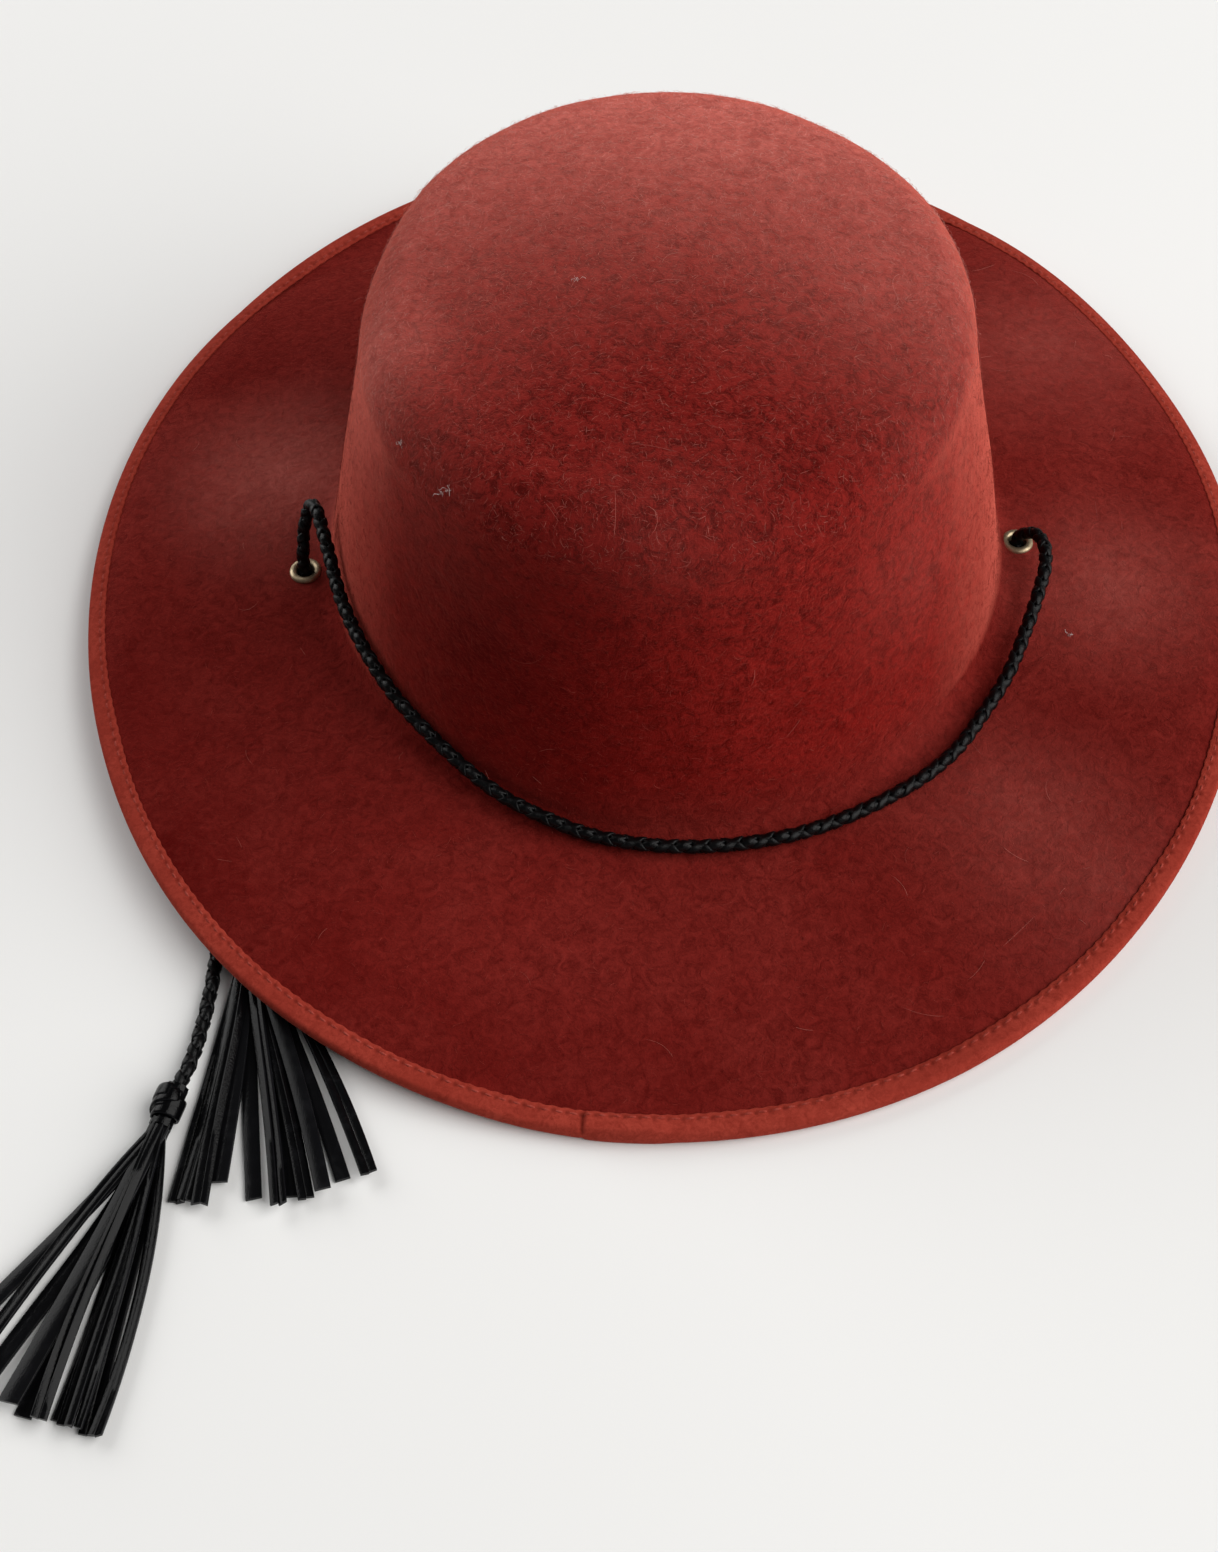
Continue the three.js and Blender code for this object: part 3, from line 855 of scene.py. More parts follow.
@dataclass(frozen=True)
class FloorFinish:
    """Plain pale surface that the hat lies on, faintly uneven."""

    name: str = "pale_floor"
    colour: Colour = (0.87, 0.87, 0.865)
    shade: float = 0.97
    clouds: Grain = Grain(2)
    cloud_scale: float = 3
    roughness: float = 0.7
    gloss: float = 0.2

    def material(self) -> Material:
        """Make the finish."""
        material, wires, shader = new_material(self.name)
        cloud = wires.noise(wires.place(), self.cloud_scale, self.clouds)
        darker = tuple(self.shade * part for part in self.colour)
        wires.fill(shader, {"Base Color": wires.mix(cloud, darker, self.colour), "Roughness": self.roughness,
                            "Specular IOR Level": self.gloss})
        return material


@dataclass(frozen=True)
class Palette:
    """Every finish of the hat, made once."""

    felt: Material
    tape: Material
    thread: Material
    nap: Material
    short_nap: Material
    lint: Material
    brass: Material
    cord: Material
    strips: Material

    @classmethod
    def mixed(cls) -> "Palette":
        """Make the finishes with their shared groups."""
        wool, leather = MattedWool().build(), LeatherGrain().build()
        PaintedSheenAndShade().build()
        felt = PaintedLightFeltFinish("rust_felt", deep=(0.082, 0.003, 0.0023), body=(0.185, 0.0088, 0.0068),
                                 lit=(0.235, 0.0168, 0.013), fibre_scale=900, cloud_scale=26, sheen=0.4,
                                 sheen_tint=(1.0, 0.17, 0.12), bump=0.0008)
        tape = TapeFinish("edge_tape", deep=(0.208, 0.0214, 0.0132), body=(0.288, 0.0337, 0.0212),
                          lit=(0.36, 0.0498, 0.0317), fibre_scale=1500, cloud_scale=60, sheen=0.15,
                          sheen_tint=(1.0, 0.3, 0.22), bump=0.00015)
        thread = WoolFinish("tape_thread", deep=(0.2, 0.021, 0.014), body=(0.31, 0.048, 0.034),
                            lit=(0.4, 0.08, 0.06), fibre_scale=2600, cloud_scale=300, sheen=0.2,
                            sheen_tint=(1.0, 0.6, 0.5), bump=0.00008)
        nap = FibreFinish("loose_wool", dark=(0.17, 0.012, 0.009), pale=(0.60, 0.21, 0.17),
                          painted_sheen=(0.9, 0.42, 0.36))
        short_nap = FibreFinish("short_wool", dark=(0.15, 0.008, 0.006), pale=(0.42, 0.085, 0.066),
                                painted_sheen=(0.8, 0.3, 0.25))
        lint = FibreFinish("pale_lint", dark=(0.45, 0.3, 0.28), pale=(0.8, 0.74, 0.72),
                           painted_sheen=(0.8, 0.7, 0.68))
        cord = LeatherFinish("braided_leather", body=(0.002, 0.002, 0.0023), scuffed=(0.009, 0.009, 0.01),
                             grain_scale=1900, roughness=0.3, gloss=0.13, bump=0.00006, edge_wear_and_highlight=0.5)
        strips = LeatherFinish("strip_leather", body=(0.0015, 0.0015, 0.0018),
                               scuffed=(0.009, 0.009, 0.0105), grain_scale=1500, roughness=0.16, gloss=0.12,
                               bump=0.00004, edge_wear_and_highlight=0.6)
        return cls(felt.material(wool), tape.material(wool), thread.material(wool), nap.material(),
                   short_nap.material(), lint.material(), BrassFinish().material(), cord.material(leather),
                   strips.material(leather))


# The felt body.


@dataclass(frozen=True)
class BrimWave:
    """Heights of the brim's upper face at one angle, its edge's curl and reach past the plan oval."""

    angle: float
    root: float
    middle: float
    edge: float
    curl: float
    reach: float


@dataclass(frozen=True)
class Dent:
    """A shallow dent of the crown's wall; a negative depth is a bulge."""

    angle: float
    height: float
    angle_spread: float
    height_spread: float
    depth: float


BRIM_WAVES = (
    BrimWave(0, 0.0133, 0.0116, 0.0082, 0.0036, 0),
    BrimWave(22, 0.0126, 0.0104, 0.0056, 0.0032, -0.0002),
    BrimWave(45, 0.0119, 0.0086, 0.0044, 0.0026, 0.0006),
    BrimWave(68, 0.0118, 0.008, 0.0009, 0, 0.0009),
    BrimWave(90, 0.0117, 0.0086, 0.0054, 0.0016, 0),
    BrimWave(125, 0.0119, 0.008, 0.0009, 0, 0),
    BrimWave(155, 0.0126, 0.0096, 0.0052, 0.0028, 0),
    BrimWave(180, 0.014, 0.0126, 0.0076, 0.004, 0),
    BrimWave(202, 0.0132, 0.0106, 0.0086, 0.0036, 0.001),
    BrimWave(230, 0.013, 0.0126, 0.0095, 0.0018, 0.0032),
    BrimWave(252, 0.0122, 0.0094, 0.0048, 0.0008, 0.0013),
    BrimWave(272, 0.0118, 0.0078, 0.0009, 0, 0),
    BrimWave(300, 0.0118, 0.0078, 0.0028, 0.0004, 0),
    BrimWave(335, 0.0128, 0.0102, 0.006, 0.0022, 0),
)
DENTS = (
    Dent(168, 0.088, 22, 0.030, 0.0018),
    Dent(25, 0.092, 20, 0.024, -0.0012),
    Dent(350, 0.046, 30, 0.026, -0.001),
)


@dataclass
class FeltBody:
    """Crown and brim, blocked from one piece of felt."""

    palette: Palette
    thickness: float = 0.0025
    half_width: float = 0.088
    half_depth: float = 0.0968
    setback: float = 0.0032
    height: float = 0.106
    top_width_share: float = 0.84
    top_depth_share: float = 0.86
    shoulder_radius: float = 0.0155
    dome_rise: float = 0.006
    root_fillet: float = 0.005
    brim_half_width: float = 0.1516
    brim_half_depth: float = 0.1747
    resting_height: float = 0.0035
    curl_share: float = 0.82
    slices: int = 288
    dome_steps: int = 14
    shoulder_steps: int = 12
    wall_steps: int = 20
    fillet_steps: int = 8
    brim_steps: int = 28
    unevenness: float = 0.0003
    uneven_scale: float = 32
    finer_times: float = 3
    finer_share: float = 0.35
    calm_part: float = 3
    seat_turn: float = 1
    seat_step: float = 0.01

    def __post_init__(self) -> None:
        """Work out the shoulder's oval and the share of the brim that the fillet takes."""
        self.top_half_width = self.half_width * self.top_width_share
        self.top_half_depth = self.half_depth * self.top_depth_share
        self.shoulder_height = self.height - self.dome_rise - self.shoulder_radius
        self.fillet_share = self.root_fillet / (self.brim_half_width - self.half_width)

    @staticmethod
    def wave(column: str, angle: float) -> float:
        """Smooth periodic curve through one column of the brim's waves.

        Args:
            column: Field of BrimWave.
            angle: Degrees round the hat.

        Returns:
            The column's value at the angle.
        """
        count, turn = len(BRIM_WAVES), angle % FULL_TURN
        index = max(row for row in range(count) if BRIM_WAVES[row].angle <= turn)
        angles, values = [], []
        for step in range(-1, 3):
            wraps, row = divmod(index + step, count)
            angles.append(BRIM_WAVES[row].angle + FULL_TURN * wraps)
            values.append(getattr(BRIM_WAVES[row], column))
        span = angles[2] - angles[1]
        share = (turn - angles[1]) / span
        slope_from = (values[2] - values[0]) / (angles[2] - angles[0]) * span
        slope_to = (values[3] - values[1]) / (angles[3] - angles[1]) * span
        return between(share, (values[1], values[2]), (slope_from, slope_to))

    @staticmethod
    def oval(angle: float, half_width: float, half_depth: float, height: float) -> Vector:
        """Point of a level oval."""
        turn = math.radians(angle)
        return Vector((half_width * math.cos(turn), half_depth * math.sin(turn), height))

    def brim_height(self, angle: float, share: float) -> float:
        """Height of the brim's upper face, which lies flat where it would sink below the floor."""
        columns = ("root", "middle", "edge", "curl")
        root, middle, edge, curl = (self.wave(column, angle) for column in columns)
        inner = 2 * (share - 0.5) * (share - 1) * root
        outer = 2 * share * (share - 0.5) * edge
        lifted = max(2 * share - 1, 0)
        curled = max((share - self.curl_share) / (1 - self.curl_share), 0)
        sweep = inner - 4 * share * (share - 1) * middle + outer
        return max(sweep + curl * (lifted ** 2 - curled ** 2), self.resting_height)

    def brim_point(self, angle: float, share: float) -> Vector:
        """Point of the brim's upper face, from the crown's root (0) to the edge (1)."""
        reach = self.wave("reach", angle) * share * share
        half_width = self.half_width + (self.brim_half_width - self.half_width) * share + reach
        half_depth = self.half_depth + (self.brim_half_depth - self.half_depth) * share + reach
        point = self.oval(angle, half_width, half_depth, self.brim_height(angle, share))
        point.y -= self.setback * (1 - share)
        return point

    def crown_point(self, angle: float, half_width: float, half_depth: float, height: float) -> Vector:
        """Point of the crown, pressed in by the dents."""
        depth = 0.0
        for dent in DENTS:
            aside = (angle - dent.angle + FULL_TURN / 2) % FULL_TURN - FULL_TURN / 2
            across = aside / dent.angle_spread
            up = (height - dent.height) / dent.height_spread
            depth += dent.depth * math.exp(-across * across - up * up)
        point = self.oval(angle, half_width, half_depth, height)
        share = 1 - depth / max(point.xy.length, self.top_half_width)
        return Vector((point.x * share, point.y * share - self.setback, height))

    def dome_point(self, angle: float, share: float) -> Vector:
        """Point of the crown's gently domed top."""
        half_width = share * (self.top_half_width - self.shoulder_radius)
        half_depth = share * (self.top_half_depth - self.shoulder_radius)
        return self.crown_point(angle, half_width, half_depth, self.height - self.dome_rise * share * share)

    def shoulder_point(self, angle: float, share: float) -> Vector:
        """Point of the round shoulder between top and wall."""
        turn = (1 - share) * math.pi / 2
        inset = self.shoulder_radius * (1 - math.cos(turn))
        height = self.shoulder_height + self.shoulder_radius * math.sin(turn)
        return self.crown_point(angle, self.top_half_width - inset, self.top_half_depth - inset, height)

    def wall_point(self, angle: float, share: float) -> Vector:
        """Point of the crown's wall, from the shoulder (0) to the fillet (1)."""
        root = self.brim_height(angle, 0)
        height = self.shoulder_height + (root + self.root_fillet - self.shoulder_height) * share
        fall = (self.shoulder_height - height) / (self.shoulder_height - root)
        half_width = self.top_half_width + (self.half_width - self.top_half_width) * fall
        half_depth = self.top_half_depth + (self.half_depth - self.top_half_depth) * fall
        return self.crown_point(angle, half_width, half_depth, height)

    def fillet_point(self, angle: float, share: float) -> Vector:
        """Point of the hollow curve from wall to brim."""
        start, corner = self.wall_point(angle, 1), self.brim_point(angle, 0)
        end = self.brim_point(angle, self.fillet_share)
        return start * (1 - share) ** 2 + corner * 2 * share * (1 - share) + end * share ** 2

    def stations(self) -> list[Callable[[float], Vector]]:
        """Rings of the upper face, from the middle of the top outwards."""
        stretches = (
            (self.dome_point, np.linspace(0, 1, self.dome_steps + 1)),
            (self.shoulder_point, np.linspace(0, 1, self.shoulder_steps + 1)[1:]),
            (self.wall_point, np.linspace(0, 1, self.wall_steps + 1)[1:]),
            (self.fillet_point, np.linspace(0, 1, self.fillet_steps + 1)[1:]),
            (self.brim_point, np.linspace(self.fillet_share, 1, self.brim_steps + 1)[1:]),
        )
        return [(lambda angle, point=point, share=share: point(angle, share))
                for point, shares in stretches for share in shares]

    def seat(self, angle: float, share: float) -> Matrix:
        """Frame on the brim's upper face with its Z axis along the face's normal."""
        turn, step = self.seat_turn, self.seat_step
        around = self.brim_point(angle + turn, share) - self.brim_point(angle - turn, share)
        along = self.brim_point(angle, share + step) - self.brim_point(angle, share - step)
        upright = UP.rotation_difference(along.cross(around).normalized())
        return Matrix.Translation(self.brim_point(angle, share)) @ upright.to_matrix().to_4x4()

    def outer_face(self) -> BMesh:
        """The felt's whole upper face, as an open sheet."""
        stations = self.stations()
        shape = spun_sheet(len(stations), self.slices, closed=False)
        settle(shape, False, lambda station, angle: stations[station](angle))
        top = max(shape.faces, key=lambda face: face.calc_center_median().z)
        if top.normal.z < 0:
            bmesh.ops.reverse_faces(shape, faces=shape.faces)
        shape.normal_update()
        for vert in shape.verts:
            share = smoothstep(vert.co.z, self.resting_height, self.height / self.calm_part)
            finer = noise.noise(vert.co * self.uneven_scale * self.finer_times)
            wobble = noise.noise(vert.co * self.uneven_scale) + self.finer_share * finer
            vert.co += vert.normal * wobble * self.unevenness * share
        return shape

    def build(self, holes: Iterable["Eyelet"]) -> tuple[Object, bpy.types.Mesh]:
        """Make the felt with its thickness and eyelet holes.

        Args:
            holes: Eyelets that the felt is punched for.

        Returns:
            The piece, and its bare upper face for the nap.
        """
        face = mesh_from(self.outer_face(), "felt_face")
        piece = add_object("felt_body_soft", face.copy(), self.palette.felt)
        wall = piece.modifiers.new("thickness", "SOLIDIFY")
        wall.thickness = self.thickness
        wall.offset = -1
        wall.use_quality_normals = True
        punches = [hole.punch(self) for hole in holes]
        for punch in punches:
            cut = piece.modifiers.new("eyelet_hole", "BOOLEAN")
            cut.object = punch
            cut.solver = "EXACT"
        bake_modifiers(piece)
        for punch in punches:
            bpy.data.objects.remove(punch)
        return register(piece, Slot.FELT, "felt_body"), face


def in_fixed_order(corners: np.ndarray, places: np.ndarray) -> np.ndarray:
    """Order triangles by where their corners lie, whatever order the mesh holds them in.

    Args:
        corners: Numbers of the corners, one row for each triangle.
        places: Where the numbered points lie.

    Returns:
        Rows of the same triangles, ordered inside each row and from row to row.
    """
    rank = np.empty(len(places), np.int64)
    rank[np.lexsort(places.T)] = np.arange(len(places))
    rows = np.take_along_axis(corners, np.argsort(rank[corners], axis=1), axis=1)
    return rows[np.lexsort(rank[rows].T)]


@dataclass
class Nap:
    """Loose fibres that stand or lie on one region of the felt."""

    region: Region
    count: int
    seed: int
    length: Span = (0.0009, 0.0034)
    radius: Span = (0.00002, 0.000045)
    lift: float = 0.0003
    sink: float = 0.00008
    curl: float = 2.6
    tone: Span = (1.4, 3.2)
    points: int = 4
    short: bool = False
    sides: int = 3
    tip_width: float = 0.75
    length_chance: Span = (2, 2.5)
    length_times: float = 1.6
    tip_lift: float = 0.5
    shoulder_share: float = 0.3
    root_reach: float = 1.02
    brim_reach: float = 0.965

    def density(self, centres: np.ndarray, felt: FeltBody) -> np.ndarray:
        """Relative density of fibres on faces with these centres."""
        x, y, height = centres.T
        top = height > felt.shoulder_height + felt.shoulder_radius * self.shoulder_share
        root = np.hypot(x / felt.half_width, (y + felt.setback) / felt.half_depth) < self.root_reach
        if self.region is Region.CROWN_TOP:
            return top.astype(float)
        if self.region is Region.CROWN_WALL:
            return (root & ~top).astype(float)
        inside = np.hypot(x / felt.brim_half_width, y / felt.brim_half_depth) < self.brim_reach
        if self.region is Region.STRAY:
            return inside.astype(float)
        return (inside & ~root).astype(float)

    def grow(self, face: bpy.types.Mesh, felt: FeltBody) -> Object:
        """Scatter the fibres over the felt's upper face.

        Args:
            face: The upper face's mesh.
            felt: The felt that it belongs to.

        Returns:
            The piece.
        """
        random = np.random.default_rng(self.seed)
        face.calc_loop_triangles()
        places = read_rows(face.vertices, "co", np.float32)
        normals = read_rows(face.vertices, "normal", np.float32)
        corners = in_fixed_order(read_rows(face.loop_triangles, "vertices", np.int32), places)
        triangles = places[corners]
        first, second, third = (triangles[:, corner] for corner in range(3))
        areas = np.linalg.norm(np.cross(second - first, third - first), axis=1)
        weights = areas * self.density(triangles.mean(axis=1), felt)
        chosen = random.choice(len(triangles), self.count, p=weights / weights.sum())
        spread = random.dirichlet((1, 1, 1), self.count)
        roots = (triangles[chosen] * spread[:, :, None]).sum(axis=1)
        out = unit_rows((normals[corners[chosen]] * spread[:, :, None]).sum(axis=1))
        lines = self.lines(roots, out, random)
        thinning = np.linspace(1, self.tip_width, self.points - 2)
        widths = random.uniform(*self.radius, (self.count, 1)) * thinning
        name = f"nap_{self.region.value}"
        mesh = spindles(name, lines, widths, self.sides)
        tones = random.beta(*self.tone, self.count)
        write_values(mesh, TONE, np.repeat(tones, len(mesh.vertices) // self.count))
        material = felt.palette.short_nap if self.short else felt.palette.nap
        return register(add_object(name, mesh, material), Slot.FELT)

    def lines(self, roots: np.ndarray, out: np.ndarray, random: np.random.Generator) -> np.ndarray:
        """Curled lines of the fibres.

        Args:
            roots: Where each fibre leaves the felt.
            out: Normals of the felt there.
            random: Source of the chances.

        Returns:
            Lines as an array of line, point and coordinate.
        """
        one_each = (self.count, 1)
        forward = unit_rows(np.cross(out, random.normal(size=roots.shape)))
        sideways = np.cross(out, forward)
        length = random.uniform(*self.length, one_each) * random.beta(*self.length_chance, one_each)
        length = length * self.length_times
        curl = random.normal(0, self.curl / 2, one_each)
        rise = np.abs(random.normal(0, self.lift, one_each))
        tip = random.exponential(self.lift * self.tip_lift, one_each)
        points = []
        for share in np.linspace(0, 1, self.points):
            bend = curl * share / 2
            reach = length * share
            height = rise * 4 * share * (1 - share) + tip * share * share - self.sink * (1 - share)
            ahead = roots + forward * reach * np.cos(bend)
            points.append(ahead + sideways * reach * np.sin(bend) + out * height)
        return np.stack(points, axis=1)


@dataclass
class Lint:
    """Tiny pale tufts caught in the felt."""

    spots: tuple[Point, ...] = (
        (-0.0596, -0.0483, 0.0924),
        (-0.0507, -0.0626, 0.0896),
        (-0.0478, -0.0634, 0.0928),
        (0.1035, -0.0387, 0.0117),
        (-0.0202, -0.0095, 0.1052),
    )
    fibres: int = 11
    bends: int = 3
    sides: int = 4
    spread: float = 0.00016
    length: float = 0.0011
    radius: float = 0.00005
    seed: int = 12

    def gather(self, face: bpy.types.Mesh, material: Material) -> Object:
        """Set a tuft on the felt near each spot.

        Args:
            face: The felt's upper face.
            material: The lint's finish.

        Returns:
            The piece.
        """
        random = np.random.default_rng(self.seed)
        places = np.array([vert.co for vert in face.vertices])
        lines = []
        for spot in self.spots:
            root = face.vertices[int(np.linalg.norm(places - spot, axis=1).argmin())]
            starts = random.normal(0, self.spread, (self.fibres, 3)) + root.co + root.normal * self.spread
            steps = random.normal(0, self.length / self.bends, (self.fibres, self.bends, 3))
            ends = starts[:, None] + np.cumsum(steps, axis=1)
            lines.append(np.concatenate([starts[:, None], ends], axis=1))
        lines = np.concatenate(lines)
        radii = np.full((len(lines), self.bends - 1), self.radius)
        mesh = spindles("lint_tufts", lines, radii, self.sides)
        write_values(mesh, TONE, random.random(len(mesh.vertices)))
        return register(add_object("lint_tufts", mesh, material), Slot.FELT)


# The tape round the brim's edge.


@dataclass
class BrimBinding:
    """Tape folded over the brim's edge and sewn through, with overlapping ends."""

    felt: FeltBody
    width: float = 0.0045
    thickness: float = 0.0007
    gap: float = 0.0003
    gap_part: float = 3
    gap_rise: float = 0.66
    fold_share: float = 0.91
    frame_turn: float = 1
    frame_digits: int = 3
    samples: int = 1441
    nose_reach: float = 0.0017
    edge_share: float = 0.55
    rise_share: float = 0.45
    rise_width: float = 0.001
    cut_width: float = 0.0001
    top_level: float = 0.99
    top_crowding: float = 1.25
    stitch_inset: float = 0.0012
    stitch_pitch: float = 0.0033
    stitch_length: float = 0.0023
    stitch_radius: float = 0.00032
    stitch_spread: Span = (0.9, 1.08)
    stitch_slant: float = 0.00006
    stitch_shares: tuple[float, ...] = (-1, -0.62, 0, 0.62, 1)
    stitch_thinning: tuple[float, ...] = (0.85, 1, 0.85)
    stitch_sink: Span = (0.25, 0.9)
    stitch_sides: int = 6
    groove_depth: float = 0.0005
    groove_width: float = 0.0006
    groove_share: float = 0.25
    notch_share: float = 0.75
    notch_power: int = 3
    pucker: float = 0.00012
    wander: float = 0.00035
    wander_scale: float = 0.11
    wander_row: float = 3.1
    overlap_start: float = 262
    overlap_end: float = 267.5
    overlap_step: float = 0.1
    overlap_fade: float = 2.5
    seam_width: float = 0.18
    seam_depth: float = 0.9
    slices_per_stitch: int = 8
    top_steps: int = 12
    nose_steps: int = 10
    under_steps: int = 5
    seed: int = 21

    def __post_init__(self) -> None:
        """Measure the way round the brim's edge."""
        self.angles = np.linspace(0, FULL_TURN, self.samples)
        edge = np.array([self.felt.brim_point(angle, 1) for angle in self.angles])
        self.arc = np.concatenate([[0], np.cumsum(np.linalg.norm(np.diff(edge, axis=0), axis=1))])
        self.stitches = round(self.arc[-1] / self.stitch_pitch)
        self.frames: dict[float, tuple[Vector, Vector, Vector]] = {}

    def phase(self, angle: float) -> float:
        """Stitches sewn from the start to an angle, as a fraction too."""
        return float(np.interp(angle % FULL_TURN, self.angles, self.arc)) / self.arc[-1] * self.stitches

    def edge_frame(self, angle: float) -> tuple[Vector, Vector, Vector]:
        """Middle of the felt's edge, its way out and its normal."""
        key = round(angle, self.frame_digits)
        if key not in self.frames:
            felt, turn = self.felt, self.frame_turn
            edge = felt.brim_point(angle, 1)
            inner = felt.brim_point(angle, self.fold_share)
            around = felt.brim_point(angle + turn, 1) - felt.brim_point(angle - turn, 1)
            normal = (edge - inner).cross(around).normalized()
            self.frames[key] = (edge - normal * felt.thickness / 2, (edge - inner).normalized(), normal)
        return self.frames[key]

    def layers(self, angle: float) -> float:
        """Layers of tape: a clear step where one end lies on top, a soft one where it leaves the other."""
        turn = angle % FULL_TURN
        start, half_step = self.overlap_start, self.overlap_step
        step = smoothstep(turn, start - half_step, start + half_step)
        seam = math.exp(-((turn - self.overlap_start + self.seam_width) / self.seam_width) ** 2)
        over = step * (1 - smoothstep(turn, self.overlap_end, self.overlap_end + self.overlap_fade))
        return 1 + over - self.seam_depth * seam * (1 - step)

    def outline(self) -> list[tuple[float, float, bool]]:
        """Closed section: along, share of the height, and whether it is on the outside."""
        top = [(-self.width + (self.width - self.gap) * share, 1.0, True)
               for share in np.linspace(0, 1, self.top_steps) ** self.top_crowding]
        nose = []
        for turn in np.linspace(math.pi / 2, -math.pi / 2, self.nose_steps + 2)[1:-1]:
            nose.append((-self.gap + (self.nose_reach - self.gap) * math.cos(turn), math.sin(turn), True))
        under = [(-self.gap - (self.width - self.gap) * share, -1.0, True)
                 for share in np.linspace(0, 1, self.under_steps)]
        inside = [(-self.width, -1.0, False), (self.gap, -1.0, False), (self.gap, 1.0, False),
                  (-self.width, 1.0, False)]
        return top + nose + under + inside

    def place(self, outline: list[tuple[float, float, bool]], station: int, angle: float) -> Vector:
        """Place of one point of the section at an angle.

        Args:
            outline: The section of outline().
            station: Number of the point.
            angle: Degrees round the hat.

        Returns:
            The point, no lower than the floor.
        """
        along, share, outside = outline[station]
        middle, out, normal = self.edge_frame(angle)
        height = self.felt.thickness / 2 + self.gap / self.gap_part
        if outside:
            rise = smoothstep(along, -self.width, -self.width + self.rise_width)
            cover = self.thickness * self.layers(angle) * (self.edge_share + self.rise_share * rise)
            height += cover + self.gap * self.gap_rise * rise
            if share > self.top_level:
                height += self.stitch_relief(along, angle)
        if along < -self.width + self.cut_width:
            spot = Vector((angle * self.wander_scale, share, self.wander_row))
            along += self.wander * noise.noise(spot)
            along += self.pucker * math.cos(math.tau * self.phase(angle))
        point = middle + out * along + normal * height * share
        point.z = max(point.z, 0)
        return point

    def stitch_relief(self, along: float, angle: float) -> float:
        """How far the sewing pulls the tape in, deepest where the thread goes through."""
        pull = self.groove_share * self.groove(along) + self.notch_share * self.notch(along, angle)
        return -self.groove_depth * pull

    def groove(self, along: float) -> float:
        """1 in the middle of the row of stitches, less beside it."""
        aside = (along + self.width - self.stitch_inset) / self.groove_width
        return math.exp(-aside * aside)

    def notch(self, along: float, angle: float) -> float:
        """1 where the thread goes through the tape, less away from there."""
        through = MIDDLE - MIDDLE * math.cos(math.tau * self.phase(angle))
        return self.groove(along) * through ** self.notch_power

    def build(self) -> Object:
        """Make the tape."""
        outline = self.outline()
        shape = spun_sheet(len(outline), self.stitches, closed=True, cuts=self.slices_per_stitch - 1)
        layer = shape.verts.layers.float.new(NOTCH)
        for vert in shape.verts:
            along, share, outside = outline[round(vert.co.length) - FIRST_RING]
            if outside and share > self.top_level:
                vert[layer] = self.notch(along, math.degrees(math.atan2(vert.co.y, vert.co.x)))
        settle(shape, True, lambda station, angle: self.place(outline, station, angle))
        mesh = mesh_from(shape, "brim_binding_tape")
        piece = add_object("brim_binding_tape", mesh, self.felt.palette.tape)
        return register(piece, Slot.TAPE, "brim_binding")

    def sew(self) -> Object:
        """Make the row of stitches on the tape's upper side and the one below."""
        lines = []
        random = np.random.default_rng(self.seed)
        for number in range(self.stitches):
            way = self.arc[-1] * number / self.stitches
            half = self.stitch_length / 2 * random.uniform(*self.stitch_spread)
            slant = random.normal(0, self.stitch_slant)
            for upper in (1, -1):
                lines.append([self.stitch_point(way, half, slant, share, upper)
                              for share in self.stitch_shares])
        radii = np.tile(self.stitch_radius * np.array(self.stitch_thinning), (len(lines), 1))
        mesh = spindles("tape_stitches", np.array(lines), radii, self.stitch_sides)
        piece = add_object("tape_stitches", mesh, self.felt.palette.thread)
        return register(piece, Slot.TAPE)

    def stitch_point(self, way: float, half: float, slant: float, share: float, upper: int) -> Vector:
        """One point of a stitch.

        Args:
            way: Way round the brim's edge to the stitch's middle.
            half: Half of its length.
            slant: How far its ends lie aside.
            share: Place along the stitch, from -1 to 1.
            upper: 1 on the tape's upper side, -1 below.

        Returns:
            The point, no lower than the floor allows.
        """
        angle = float(np.interp((way + share * half) % self.arc[-1], self.arc, self.angles))
        middle, out, normal = self.edge_frame(angle)
        along = -self.width + self.stitch_inset + slant * share
        top = self.felt.thickness / 2 + self.gap + self.thickness * self.layers(angle)
        sunk = self.groove_depth
        if upper > 0:
            sunk *= self.stitch_sink[0] + self.stitch_sink[1] * share * share
        point = middle + out * along + normal * (top - sunk) * upper
        point.z = max(point.z, self.stitch_radius)
        return point


# The eyelets.


